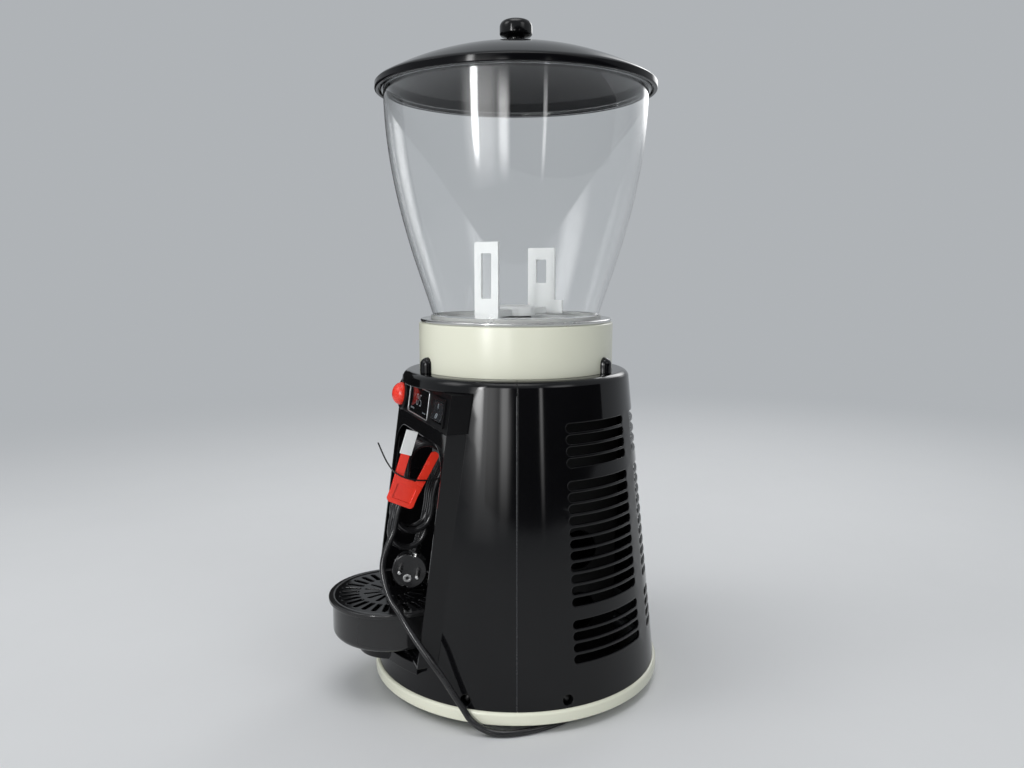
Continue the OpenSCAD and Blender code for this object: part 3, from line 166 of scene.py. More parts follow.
PLUG_R = 18.5
RELIEF_L = 25
PLUG_LEAN = math.radians(17.2)
PLUG_TURN = math.radians(-19)
PLUG_UP = Vector((0, math.sin(PLUG_LEAN), math.cos(PLUG_LEAN)))
PLUG_AT = Vector((loop_x(HANK_LOOPS), -126, 131))
relief_top = PLUG_AT + (PLUG_R + RELIEF_L) * PLUG_UP
tail = [hank[-1] - EASE / 2 * UP, hank[-1] - EASE * UP]
tail += [relief_top + EASE * PLUG_UP, relief_top + EASE / 2 * PLUG_UP, relief_top]


def smooth(points, count):
    """A smooth line through the points, with count steps between two of them."""
    out = []
    for i in range(len(points) - 1):
        p0 = points[max(i - 1, 0)]
        p1, p2 = points[i], points[i + 1]
        p3 = points[min(i + 2, len(points) - 1)]
        for k in range(count):
            t = k / count
            out.append(0.5 * (2 * p1 + (p2 - p0) * t + (2 * p0 - 5 * p1 + 4 * p2 - p3) * t * t
                              + (3 * p1 - p0 - 3 * p2 + p3) * t ** 3))
    return out + [points[-1]]


def tube(name, points, radius, sides=6):
    data = bpy.data.curves.new(name, "CURVE")
    data.dimensions = "3D"
    data.bevel_depth = radius
    data.bevel_resolution = sides
    data.use_fill_caps = True
    spline = data.splines.new("POLY")
    spline.points.add(len(points) - 1)
    for point, at in zip(spline.points, points):
        point.co = (*at, 1)
    spline.use_smooth = True
    return show(name, data)


cord_line = [row(p) for p in smooth(lead + hank + tail, CORD_STEPS)]
cord = tube("mains_cord", cord_line, CORD_D / 2)


# Materials

def feed(tree, socket, value):
    """Sets an input to a plain value, or links it to the output that is given."""
    if isinstance(value, bpy.types.NodeSocket):
        tree.links.new(value, socket)
    else:
        socket.default_value = value


def add(tree, kind, **inputs):
    """A new shader node, with its inputs by name."""
    node = tree.nodes.new("ShaderNode" + kind)
    for name, value in inputs.items():
        feed(tree, node.inputs[name.replace("_", " ")], value)
    return node


def reckon(tree, operation, first, second):
    """What a Math node makes of two values."""
    node = add(tree, "Math")
    node.operation = operation
    feed(tree, node.inputs[0], first)
    feed(tree, node.inputs[1], second)
    return node.outputs["Value"]


def blend(tree, output, share, first, second):
    """Sends two shaders to the output node, the second by its share and the first for the rest."""
    node = add(tree, "MixShader")
    for socket, source in zip(node.inputs, (share, first, second)):
        feed(tree, socket, source)
    feed(tree, tree.nodes[output].inputs["Surface"], node.outputs["Shader"])


# Noise mostly lies between these two values
DRIFT = (0.3, 0.7)
# Roughness changes in smaller patches than colour
PATCHES = 2.3
EDGE_SAMPLES = 6
GRAIN_DEPTH = 0.0004
SWELL_DEPTH = 0.004
SWELL_SCALE = 7.0
# Every finish by its name, which is also the slot's name where the solids have that finish
finishes = {}


def surface(name, dark, light, rough, spread=9.0, grain=900.0, bump=0.05, swell=0.0, edge=0.0006,
            **sockets):
    """A procedural finish: colour and roughness drift with a broad noise, a fine grain lifts the surface,
    a slow swell bends what it reflects, and edges catch the light over a small radius."""
    mat = bpy.data.materials.new(name + "_mat")
    mat.use_nodes = True
    tree = mat.node_tree
    shader = tree.nodes["Principled BSDF"]
    place = add(tree, "TexCoord").outputs["Object"]

    def noise(scale, detail, **inputs):
        return add(tree, "TexNoise", Vector=place, Scale=scale, Detail=detail, **inputs).outputs["Fac"]

    tone = add(tree, "ValToRGB", Fac=noise(spread, 5.0, Roughness=0.6))
    for stop, at, colour in zip(tone.color_ramp.elements, DRIFT, (dark, light)):
        stop.position = at
        stop.color = (*colour, 1)
    feed(tree, shader.inputs["Base Color"], tone.outputs["Color"])
    level = add(tree, "MapRange", Value=noise(spread * PATCHES, 7.0), From_Min=DRIFT[0], From_Max=DRIFT[1],
                To_Min=rough[0], To_Max=rough[1])
    feed(tree, shader.inputs["Roughness"], level.outputs["Result"])
    lift = add(tree, "Bump", Strength=bump, Distance=GRAIN_DEPTH, Height=noise(grain, 3.0))
    if edge:
        turned = add(tree, "Bevel", Radius=edge)
        turned.samples = EDGE_SAMPLES
        feed(tree, lift.inputs["Normal"], turned.outputs["Normal"])
    normal = lift.outputs["Normal"]
    if swell:
        wave = add(tree, "Bump", Strength=swell, Distance=SWELL_DEPTH, Height=noise(SWELL_SCALE, 1.0),
                   Normal=normal)
        normal = wave.outputs["Normal"]
    feed(tree, shader.inputs["Normal"], normal)
    for socket, value in sockets.items():
        feed(tree, shader.inputs[socket.replace("_", " ")], value)
    finishes[name] = mat
    return mat


black_gloss = surface("black_gloss", (0.002, 0.002, 0.0024), (0.004, 0.004, 0.0046), (0.05, 0.12), spread=6,
                      grain=1400, bump=0.006, swell=0.05, edge=0.0014, Specular_IOR_Level=0.34)
lid_gloss = surface("lid_gloss", (0.002, 0.002, 0.0026), (0.004, 0.004, 0.005), (0.06, 0.14), spread=6,
                    grain=1400, bump=0.006, swell=0.04, edge=0.0009, Specular_IOR_Level=0.17)
# The drip tray's black gloss, made a lighter grey than black_gloss: a painted sheen that stands in for the
# pale floor it reflects.
tray_gloss_painted_sheen = surface("tray_gloss_painted_sheen", (0.013, 0.013, 0.0135), (0.018, 0.018, 0.0185), (0.07, 0.15), spread=12,
                     grain=1400, bump=0.008, edge=0.0009, Specular_IOR_Level=0.45)
black_matte = surface("black_matte", (0.0025, 0.0025, 0.003), (0.006, 0.006, 0.0066), (0.28, 0.42),
                      grain=2200, bump=0.12, Specular_IOR_Level=0.14)
pale_plastic = surface("pale_plastic", (0.685, 0.69, 0.57), (0.7, 0.705, 0.585), (0.2, 0.27), spread=14,
                       grain=1800, bump=0.03)
# Satin is a dark grey, lighter than the black plastics, and partly a painted sheen: it lightens the rocker's
# face towards its grey reflection and draws a light line along the seam beads.
satin = surface("satin", (0.014, 0.015, 0.017), (0.02, 0.021, 0.023), (0.22, 0.3), spread=60,
                grain=1800, bump=0.03)
surface("rubber", (0.01, 0.01, 0.011), (0.024, 0.024, 0.025), (0.42, 0.6), grain=1500, bump=0.12)
vinyl = surface("vinyl", (0.008, 0.008, 0.009), (0.018, 0.018, 0.019), (0.12, 0.26), spread=40,
                grain=1200, bump=0.05, edge=0)
surface("silicone", (0.7, 0.71, 0.69), (0.8, 0.81, 0.79), (0.25, 0.4), grain=900, bump=0.05,
        Transmission_Weight=0.55, IOR=1.41)
surface("steel", (0.5, 0.505, 0.5), (0.64, 0.64, 0.63), (0.14, 0.3), grain=700, bump=0.06, Metallic=1.0)
zinc = surface("zinc", (0.5, 0.5, 0.5), (0.68, 0.68, 0.67), (0.16, 0.32), spread=60, grain=900, bump=0.05,
               Metallic=1.0)
oxide = surface("oxide", (0.03, 0.03, 0.03), (0.06, 0.06, 0.06), (0.3, 0.5), spread=60, grain=900, bump=0.08,
                Metallic=1.0)
surface("sheet_metal", (0.4, 0.41, 0.42), (0.5, 0.51, 0.52), (0.32, 0.5), grain=600, bump=0.08,
        Metallic=1.0)
aluminium = surface("aluminium", (0.62, 0.63, 0.64), (0.75, 0.76, 0.77), (0.28, 0.45), grain=700, bump=0.08,
                    Metallic=1.0)
surface("copper", (0.5, 0.22, 0.12), (0.66, 0.32, 0.18), (0.22, 0.4), grain=700, bump=0.05, Metallic=1.0)
clear = surface("clear", (0.97, 0.978, 0.98), (0.99, 0.994, 0.995), (0.0, 0.02), grain=500, bump=0.004,
                swell=0.012, edge=0, Transmission_Weight=1.0, IOR=1.49)
surface("white_plastic", (0.72, 0.73, 0.725), (0.76, 0.77, 0.765), (0.28, 0.42), grain=1500, bump=0.06)
red_plastic = surface("red_plastic", (0.8, 0.035, 0.018), (0.88, 0.05, 0.026), (0.2, 0.3), spread=40,
                      grain=1500, bump=0.01)
surface("foam", (0.55, 0.5, 0.36), (0.7, 0.64, 0.48), (0.8, 0.95), grain=300, bump=0.5)
surface("board", (0.02, 0.13, 0.05), (0.03, 0.2, 0.08), (0.35, 0.5), grain=600, bump=0.1)
black_paint = surface("black_paint", (0.003, 0.003, 0.003), (0.007, 0.007, 0.007), (0.45, 0.65), grain=800,
                      bump=0.1, Specular_IOR_Level=0.2)
# Near-black foam for the dust filter; its dark colour partly stands in for shade inside the louvres.
filter_foam_and_shade = surface("filter_foam_and_shade", (0.002, 0.002, 0.002), (0.01, 0.01, 0.01), (0.8, 0.95), spread=500,
                      grain=420, bump=0.8, edge=0, Specular_IOR_Level=0.1)
readout = surface("readout", (0.2, 0.23, 0.25), (0.28, 0.31, 0.33), (0.3, 0.45), grain=1500, bump=0.03,
                  edge=0)

# Lamps shine through the bowl onto what is in it
tree = clear.node_tree
pane = add(tree, "BsdfTransparent", Color=(0.93, 0.94, 0.94, 1)).outputs["BSDF"]
blend(tree, "Material Output", add(tree, "LightPath").outputs["Is Shadow Ray"],
      tree.nodes["Principled BSDF"].outputs["BSDF"], pane)

for node in nodes.values():
    for i, slot in enumerate(node.data.materials):
        if slot and slot.name in finishes:
            node.data.materials[i] = finishes[slot.name]
# The rocker's satin is lighter than its black plastic, partly a painted reflection on its face.
for name, finish in (("plug_relief", vinyl), ("shell_screws", oxide), ("rocker", satin)):
    nodes[name].data.materials[0] = finish


def piece(obj, body, slot, finish, *replaced):
    """Gives a piece its finish and its body, and hides the solids that it stands for. The slot is not used.
    """
    obj.data.materials.clear()
    obj.data.materials.append(finish)
    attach(obj, body)
    if replaced:
        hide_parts(*replaced)
    return obj


piece(cord, "base", "rubber", vinyl, "cord_run", "cord_hank", "cord_tail")
TIE_R = 0.0008
TIE = [Vector(p) for p in (
    (20, -161, 275), (27, -158.5, 266), (36, -155, 256), (43.5, -148.5, 247), (44.2, -134, 239.5),
    (43, -116, 236.5), (37, -97, 236), (25, -83, 236), (10, -77.2, 236.5), (0, -77.2, 237),
    (-8, -80.5, 237), (-11, -88, 237.5), (-9, -98, 238), (-2, -112, 239), (4, -126, 240),
    (8, -136, 241), (16, -140.5, 242), (26, -141, 243), (34, -142, 245))]
tie = tube("tie_wire", [row(p) for p in smooth(TIE, CORD_STEPS)], TIE_R, 3)
piece(tie, "base", "rubber", vinyl, "twist_tie")


# Turned pieces, on the sizes of part.scad but with round profiles

def arc(cr, cz, r, a0, a1, n):
    turns = [math.radians(a) for a in steps(a0, a1, n)]
    return [(cr + r * math.cos(a), cz + r * math.sin(a)) for a in turns]


def rounded(outline, count=6):
    """A closed outline of (radius, height) corners, where a third number rounds its corner."""
    out = []
    for i, corner in enumerate(outline):
        if len(corner) == 2:
            out.append(corner)
            continue
        c, r = Vector(corner[:2]), corner[2]
        a = (Vector(outline[i - 1][:2]) - c).normalized()
        b = (Vector(outline[(i + 1) % len(outline)][:2]) - c).normalized()
        half = a.angle(b) / 2
        middle = c + (a + b).normalized() * (r / math.sin(half))
        first = c + a * (r / math.tan(half)) - middle
        last = c + b * (r / math.tan(half)) - middle
        out += [tuple(middle + r * first.slerp(last, k / count).normalized()) for k in range(count + 1)]
    return out


def sharpen(mesh, degrees):
    """Shades a mesh smooth, apart from edges that turn by more than these degrees."""
    work = bmesh.new()
    work.from_mesh(mesh)
    bmesh.ops.remove_doubles(work, verts=work.verts, dist=1e-6)
    bmesh.ops.recalc_face_normals(work, faces=work.faces)
    for face in work.faces:
        face.smooth = True
    for edge in work.edges:
        edge.smooth = len(edge.link_faces) == 2 and edge.calc_face_angle(0) < math.radians(degrees)
    work.to_mesh(mesh)
    work.free()


def build(name, verts, faces, degrees=34):
    mesh = bpy.data.meshes.new(name)
    mesh.from_pydata(verts, [], faces)
    sharpen(mesh, degrees)
    return show(name, mesh)


def lathe(name, outline, place=AXIS, sides=160):
    """A turned solid from a closed outline of (radius, height) corners, in the frame of place."""
    outline = rounded(outline)
    count = len(outline)
    verts = []
    for k in range(sides):
        a = 2 * math.pi * k / sides
        verts += [place @ Vector((r * math.cos(a) / 1000, r * math.sin(a) / 1000, z / 1000))
                  for r, z in outline]
    faces = []
    for k in range(sides):
        a, b = k * count, (k + 1) % sides * count
        for i in range(count):
            j = (i + 1) % count
            if outline[i][0] > 1e-6 or outline[j][0] > 1e-6:
                faces.append((a + i, b + i, b + j, a + j))
    return build(name, verts, faces)


def curve(p, t):
    """A point of the curve with four control points."""
    return tuple((1 - t) ** 3 * p[0][i] + 3 * (1 - t) ** 2 * t * p[1][i] + 3 * (1 - t) * t * t * p[2][i]
                 + t ** 3 * p[3][i] for i in (0, 1))


BOWL_Z = 402.8
BOWL_FOOT_R = 91
BOWL_RIM_R = 140
BOWL_WALL = 3
RIM_Z = 640.8
RIM_LIP = 3
RIM_LIP_H = 4
BOWL_CURVE = ((BOWL_FOOT_R, BOWL_Z), (101, BOWL_Z + 36.89), (139.5, BOWL_Z + 126.14),
              (BOWL_RIM_R, RIM_Z - RIM_LIP_H))
outer = [curve(BOWL_CURVE, t) for t in steps(0, 1, 56)]
inner = [(r - BOWL_WALL, z) for r, z in reversed(outer)]
lip = [(BOWL_RIM_R + RIM_LIP, RIM_Z - RIM_LIP_H, 1.2), (BOWL_RIM_R + RIM_LIP, RIM_Z, 1.2),
       (BOWL_RIM_R - BOWL_WALL, RIM_Z, 1.2)]
bowl = lathe("bowl_clear", [(*outer[0], 0.8)] + outer[1:] + lip + inner[:-1] + [(*inner[-1], 0.8)])
piece(bowl, "bowl", "clear", clear, "bowl")

LID_Z0 = 636.8
LID_Z1 = 645.4
LID_R = 148.8
LID_EDGE = 1.8
LID_RISE = 38
LID_WALL = 3
LID_FLAT = 12
LID_SEAT_Z = RIM_Z + 0.3
LID_SEAT_R = 136
LID_SKIRT_R = 145
KNOB_HOLE = 2.3
CAP_EDGE = LID_R - LID_EDGE
CAP_R = (CAP_EDGE ** 2 + LID_RISE ** 2) / (2 * LID_RISE)


def cap(r, inset=0.0):
    """Height of the lid's dome over a radius."""
    return LID_Z1 + LID_RISE - CAP_R + math.sqrt((CAP_R - inset) ** 2 - r * r)


lid_skirt = [(LID_SKIRT_R, LID_Z0, 0.6), (LID_R, LID_Z0, 1.4), (LID_R, LID_Z1 - LID_EDGE, 0.6)]
lid_top = [(r, cap(r)) for r in steps(CAP_EDGE, LID_FLAT, 40)]
lid_hole = [(KNOB_HOLE, cap(LID_FLAT)), (KNOB_HOLE, cap(LID_FLAT, LID_WALL))]
lid_low = [(r, cap(r, LID_WALL)) for r in steps(LID_FLAT, LID_SEAT_R, 40)]
lid_seat = [(LID_SEAT_R, LID_SEAT_Z, 0.4), (LID_SKIRT_R, LID_SEAT_Z, 0.6)]
lid = lathe("lid_dome", lid_skirt + lid_top + lid_hole + lid_low + lid_seat)
piece(lid, "lid", "black_gloss", lid_gloss, "lid")

KNOB_Z = cap(LID_FLAT)
KNOB_BORE = 2.05
KNOB_BORE_Z = KNOB_Z + 12
knob_stem = [(KNOB_BORE, KNOB_Z), (10, KNOB_Z, 0.6), (9, KNOB_Z + 9.8, 2.2)]
knob_head = arc(14.3, KNOB_Z + 14.76, 3, -90, 0, 8) + arc(10.3, KNOB_Z + 21, 7, 0, 90, 12)
knob_top = [(4.5, KNOB_Z + 28), (3.6, KNOB_Z + 27.4), (0, KNOB_Z + 27.4)]
knob_bore = [(0, KNOB_BORE_Z), (KNOB_BORE, KNOB_BORE_Z)]
knob = lathe("knob_turned", knob_stem + knob_head + knob_top + knob_bore, sides=96)
piece(knob, "lid", "black_gloss", black_gloss, "lid_knob")

TRAY = Matrix.Translation((0, AXIS_Y - 0.142, 0))
TRAY_RIM_R = 70
TRAY_MOUTH_R = 63.5
TRAY_TOP_Z = 106.8
TRAY_RIM_Z = 101.8
tray_foot = [(0, 63.8)] + arc(58, 71.8, 8, -90, 0, 10)
tray_rim = [(66, TRAY_RIM_Z, 1.2), (TRAY_RIM_R, TRAY_RIM_Z, 1.4), (TRAY_RIM_R, TRAY_TOP_Z, 1.4),
            (TRAY_MOUTH_R, TRAY_TOP_Z, 0.8)]
tray_ledge = [(TRAY_MOUTH_R, 103), (61, 103, 0.4), (61, 101), (TRAY_MOUTH_R, 98.5)]
tray_floor = arc(58, 71.8, 5.5, 0, -90, 10) + [(0, 66.3)]
tray = lathe("tray_bowl", tray_foot + tray_rim + tray_ledge + tray_floor, TRAY)
# The tray keeps the black_gloss slot; its lighter grey finish is a painted sheen.
piece(tray, "tray", "black_gloss", tray_gloss_painted_sheen, "drip_tray")

LEDGE_Z = 344
COLLAR_R = 106
COLLAR_BORE = 101
COLLAR_TOP_Z = 395.4
SHELF_R = 92
SHELF_Z0 = 362.4
SHELF_Z1 = 365.4
collar = lathe("collar_turned", [
    (COLLAR_R, LEDGE_Z, 0.4), (COLLAR_R, COLLAR_TOP_Z, 1.8), (COLLAR_BORE, COLLAR_TOP_Z, 0.8),
    (COLLAR_BORE, SHELF_Z1), (SHELF_R, SHELF_Z1), (SHELF_R, SHELF_Z0), (COLLAR_BORE, SHELF_Z0),
    (COLLAR_BORE, LEDGE_Z)])
piece(collar, "base", "pale_plastic", pale_plastic, "collar")

CLIP_TURNS = (-82, 38, 158)
CLIP_W2 = 7.4
CLIP_H = 16.8
CLIP_D = 8.6
CLIP_ROUND = 0.7
CLIP_BACK = 105.7
CLIP_Z = 344.1
CLIP_LAY = 16
CLIP_RISE = 18


def clip(name, turn):
    """A black catch at the collar's foot: a thumb shape, flat at its back."""
    verts, faces = [], []
    for j in range(CLIP_RISE + 1):
        z = CLIP_H * math.sin(math.pi / 2 * j / CLIP_RISE)
        full = math.sqrt(max(0, 1 - (max(0, z - CLIP_H + CLIP_W2) / CLIP_W2) ** 2))
        for i in range(CLIP_LAY + 1):
            a = math.pi * i / CLIP_LAY
            out = CLIP_BACK + CLIP_D * full * math.sin(a) ** CLIP_ROUND
            at = Vector((out, CLIP_W2 * full * math.cos(a), CLIP_Z + z))
            verts.append(row(Matrix.Rotation(math.radians(turn), 3, "Z") @ at))
    for j in range(CLIP_RISE):
        n, m = j * (CLIP_LAY + 1), (j + 1) * (CLIP_LAY + 1)
        faces += [(n + i, n + i + 1, m + i + 1, m + i) for i in range(CLIP_LAY)]
        faces.append((n + CLIP_LAY, n, m, m + CLIP_LAY))
    faces.append(tuple(range(CLIP_LAY + 1)))
    return build(name, verts, faces, 50)


for k, turn in enumerate(CLIP_TURNS):
    stands_for = () if k else ("collar_clips",)
    piece(clip("clip_%d" % k, turn), "base", "black_gloss", black_gloss, *stands_for)

RING_R = 160
RING_BORE = 146.5
RING_Z0 = 9
RING_Z1 = 22
ring = lathe("ring_turned", [(RING_BORE, RING_Z0), (RING_R, RING_Z0, 2), (RING_R, RING_Z1, 3),
                             (RING_BORE, RING_Z1)])
piece(ring, "base", "pale_plastic", pale_plastic, "base_ring")


# Shell: the lips behind its two seams, the beads along them in a lighter finish that paints a light line on
# each seam, and the near-black dust filter behind the rear louvres, which partly stands in for shade in them

BODY_BASE_R = 156.8
BODY_TAPER = 33.3
BODY_H = 322
SHELL_WALL = 3
SEAM_TURN = 68.5
LIP_TURN = 2
LIP_GAP = 0.3
LIP_T = 1.2
LIP_Z = (25, 332)
BEAD_R = 0.0009
BEAD_SUNK = 0.5
BEAD_Z = (23, 330)
FILTER_GAP = 0.5
FILTER_T = 3
FILTER_TURNS = (46, 134)
FILTER_Z = (60, 306)


def on_cone(degrees, z, inset):
    """A point at an angle and a height, inset from the outside of the body's cone."""
    turn = math.radians(degrees)
    r = BODY_BASE_R - (z - RING_Z1) * BODY_TAPER / BODY_H - inset
    return row((r * math.cos(turn), r * math.sin(turn), z))


def band(name, angles, heights, gap, thick):
    """A sheet that follows the inside of the shell at a gap from it, over a run of angles and heights."""
    verts, faces = [], []
    for inset in (SHELL_WALL + gap, SHELL_WALL + gap + thick):
        verts += [on_cone(a, z, inset) for z in heights for a in angles]
    wide, high = len(angles), len(heights)
    back = wide * high
    for j in range(high - 1):
        for i in range(wide - 1):
            n = j * wide + i
            m = n + back
            faces += [(n, n + 1, n + wide + 1, n + wide), (m, m + wide, m + wide + 1, m + 1)]
    edge = list(range(wide)) + [j * wide + wide - 1 for j in range(1, high)]
    edge += [back - 1 - i for i in range(1, wide)] + [j * wide for j in range(high - 2, 0, -1)]
    faces += [(a, a + back, b + back, b) for a, b in zip(edge, edge[1:] + edge[:1])]
    return build(name, verts, faces)


for side, hand in ((-1, "left"), (1, "right")):
    middle = -90 + side * SEAM_TURN
    across = steps(middle - LIP_TURN, middle + LIP_TURN, 2)
    seam_lip = band("seam_lip_" + hand, across, steps(*LIP_Z, 8), LIP_GAP, LIP_T)
    piece(seam_lip, "base", "black_matte", black_matte)
    # Beads for the shells' rounded seam edges, in the lighter satin finish instead of black gloss: a painted
    # highlight line along each seam.
    seam = [on_cone(middle, z, BEAD_SUNK) for z in steps(*BEAD_Z, 8)]
    piece(tube("seam_highlight_bead_" + hand, seam, BEAD_R, 4), "base", "black_gloss", satin)
# A near-black sheet behind the rear louvres: partly a dust filter, and partly painted shade that keeps the
# louvres' insides dark and blocks light through them.
dust_filter_and_shade = band("dust_filter_and_shade", steps(*FILTER_TURNS, 44), steps(*FILTER_Z, 12), FILTER_GAP, FILTER_T)
piece(dust_filter_and_shade, "base", "black_matte", filter_foam_and_shade)


# Front: what the head carries

FRONT_Q = 110
FRONT_Z = 292
FRONT_LEAN = 0.14
FRONT_TILT = math.atan(FRONT_LEAN)
HEAD_Z = 311.5
DISPLAY_X = -15
DISPLAY_Z = HEAD_Z - 1.5
ROCKER_X = 62
BUTTON_X = -71
SWITCH_Z = HEAD_Z - 1


def on_front(x, z):
    """The frame of a point on the flat front: X to the user's right, Y up, Z out."""
    at = Vector((x, -(FRONT_Q + (FRONT_Z - z) * FRONT_LEAN), z))
    s, c = math.sin(FRONT_TILT), math.cos(FRONT_TILT)
    return Matrix.Translation(row(at)) @ Matrix(((1, 0, 0, 0), (0, s, -c, 0), (0, c, s, 0), (0, 0, 0, 1)))


def block(place, x, y, z, w, h, t):
    """Corners and faces of a small block, in the frame of place."""
    corners = [(x + i * w / 2, y + j * h / 2, z + k * t) for k in (0, 1) for j in (-1, 1) for i in (-1, 1)]
    faces = [(0, 2, 3, 1), (4, 5, 7, 6), (0, 1, 5, 4), (2, 6, 7, 3), (0, 4, 6, 2), (1, 3, 7, 5)]
    return [place @ (Vector(c) / 1000) for c in corners], faces


def gather(name, blocks, degrees=30):
    """One piece from many blocks."""
    verts, faces = [], []
    for v, f in blocks:
        faces += [tuple(i + len(verts) for i in face) for face in f]
        verts += v
    return build(name, verts, faces, degrees)


def loop(name, points, radius, sides=4):
    """A tube that closes on itself."""
    obj = tube(name, points, radius, sides)
    obj.data.splines[0].use_cyclic_u = True
    return obj


TRIM_X = 35
TRIM_Y = 12.5
TRIM_ROUND = 2.6
TRIM_LIFT = 0.25
TRIM_R = 0.00055
glass = on_front(DISPLAY_X, DISPLAY_Z)
outline = []
for i, j, start in ((1, 1, 0), (-1, 1, 90), (-1, -1, 180), (1, -1, 270)):
    outline += arc(i * TRIM_X, j * TRIM_Y, TRIM_ROUND, start, start + 90, 6)
trim = loop("display_trim", [glass @ (Vector((x, y, TRIM_LIFT)) / 1000) for x, y in outline], TRIM_R)
piece(trim, "base", "aluminium", aluminium)

# Bars of a digit by their place and size, the place of each digit with the bars that it lights, and rows of
# small signs by their first place, pitch, count and size
BARS = {"a": (0, 5.6, 4.6, 1.1), "b": (3, 2.9, 1.1, 4.4), "c": (3, -2.9, 1.1, 4.4), "d": (0, -5.6, 4.6, 1.1),
        "e": (-3, -2.9, 1.1, 4.4), "f": (-3, 2.9, 1.1, 4.4), "g": (0, 0, 4.6, 1.1)}
DIGITS = ((-5, "abcdef"), (6, "acdfg"))
DIGIT_Y = 1.5
SIGNS = ((-26, 3.4, 4, 1.8, 1.8), (20, 4, 3, 2.4, 1.2))
SIGN_Y = -9.6
MARK_LIFT = 0.02
MARK_T = 0.12
marks = []
for digit_x, lit in DIGITS:
    for x, y, w, h in (BARS[bar] for bar in lit):
        marks.append(block(glass, digit_x + x, y + DIGIT_Y, MARK_LIFT, w, h, MARK_T))
for first, pitch, count, w, h in SIGNS:
    marks += [block(glass, first + pitch * k, SIGN_Y, MARK_LIFT, w, h, MARK_T) for k in range(count)]
piece(gather("display_marks", marks), "base", "white_plastic", readout)

ROCKER_SINK = Matrix.Translation((0, 0, -0.003))
ROCKER_FACE = Matrix.Translation((0, 0, 0.005))
ROCKER_REST = Matrix.Rotation(math.radians(-7), 4, "X")
ROCKER_SLOPE = math.atan(1 / 9.5)
ROCKER_MARK_Y = 5.2
ON_W = 1.3
ON_H = 5
ON_T = 0.15
OFF_R = 2.3
OFF_LIFT = 0.05
OFF_LINE_R = 0.0004
crest = on_front(ROCKER_X, SWITCH_Z) @ ROCKER_SINK @ ROCKER_REST @ ROCKER_FACE
upper = crest @ Matrix.Rotation(ROCKER_SLOPE, 4, "X")
lower = crest @ Matrix.Rotation(-ROCKER_SLOPE, 4, "X")
on_mark = gather("rocker_on", [block(upper, 0, ROCKER_MARK_Y, MARK_LIFT, ON_W, ON_H, ON_T)])
piece(on_mark, "rocker", "white_plastic", readout)
turns = [2 * math.pi * k / 32 for k in range(32)]
circle = [Vector((OFF_R * math.cos(a), -ROCKER_MARK_Y + OFF_R * math.sin(a), OFF_LIFT)) for a in turns]
off_mark = loop("rocker_off", [lower @ (p / 1000) for p in circle], OFF_LINE_R, 3)
piece(off_mark, "rocker", "white_plastic", readout)

BUTTON_R = 13
BUTTON_H = 15.5
BUTTON_SEAT = 2.5
BEZEL_H = 5
turns = [math.radians(a) for a in steps(0, 90, 20)]
dome = [(BUTTON_R * math.cos(a), BEZEL_H + (BUTTON_H - BEZEL_H) * math.sin(a)) for a in turns]
button = lathe("button_dome", [(0, -BUTTON_SEAT), (BUTTON_R, -BUTTON_SEAT)] + dome[:-1] + [(0, BUTTON_H)],
               on_front(BUTTON_X, SWITCH_Z), 96)
piece(button, "button", "red_plastic", red_plastic, "push_button")


# Plug: bright pins and earth contacts on the solid's own faces, and the metal mouth of its earth socket

PINS_X = 11.7
CONTACT_X = 0.2
CONTACT_REACH = 2.9
CONTACT_W2 = 2.7
EARTH_AT = Matrix.Translation((0.0115, 0, -0.0078))
EARTH_BORE = 1.7
EARTH_R = 4.6
EARTH_T = 0.7
EARTH_ROUND = 0.35
at_plug = (Matrix.Translation(row(PLUG_AT)) @ Matrix.Rotation(-PLUG_LEAN, 4, "X")
           @ Matrix.Rotation(PLUG_TURN, 4, "Z"))
to_plug = at_plug.inverted()


def bare_metal(c):
    """True for a place on a pin, or on a contact at the plug's rim."""
    at_rim = abs(abs(c.z) - PLUG_R) < CONTACT_REACH and abs(c.y) < CONTACT_W2
    return c.x > PINS_X or (at_rim and c.x > CONTACT_X)


plug = nodes["mains_plug"]
plug.data.materials[0] = vinyl
plug.data.materials.append(zinc)
for face in plug.data.polygons:
    if bare_metal(to_plug @ face.center * 1000):
        face.material_index = 1
earth = lathe("plug_earth", [(EARTH_BORE, 0), (EARTH_R, 0), (EARTH_R, EARTH_T, EARTH_ROUND),
                             (EARTH_BORE, EARTH_T, EARTH_ROUND)],
              at_plug @ EARTH_AT @ Matrix.Rotation(math.pi / 2, 4, "Y"), 48)
piece(earth, "base", "zinc", zinc)


# Stage: a floor that fades into the plain background, soft lamps, and two dark cards for gloss to reflect

PALE = (0.43, 0.45, 0.47)
FLOOR_W2 = 30.0
FADE_NEAR = 0.7
FADE_FAR = 2.4
SKY_LIGHT = 0.8
LAMP_EDGE = 0.4
LAMP_MIDDLE = 1.35


def card(name, corners, finish):
    mesh = bpy.data.meshes.new(name)
    mesh.from_pydata(corners, [], [(0, 1, 2, 3)])
    mesh.materials.append(finish)
    obj = show(name, mesh)
    return obj


def seen_rays(tree):
    """1 for what the camera, gloss and glass see, and 0 for light that falls on a surface."""
    rays = add(tree, "LightPath").outputs
    through = reckon(tree, "MAXIMUM", rays["Is Glossy Ray"], rays["Is Transmission Ray"])
    return reckon(tree, "MAXIMUM", rays["Is Camera Ray"], through)


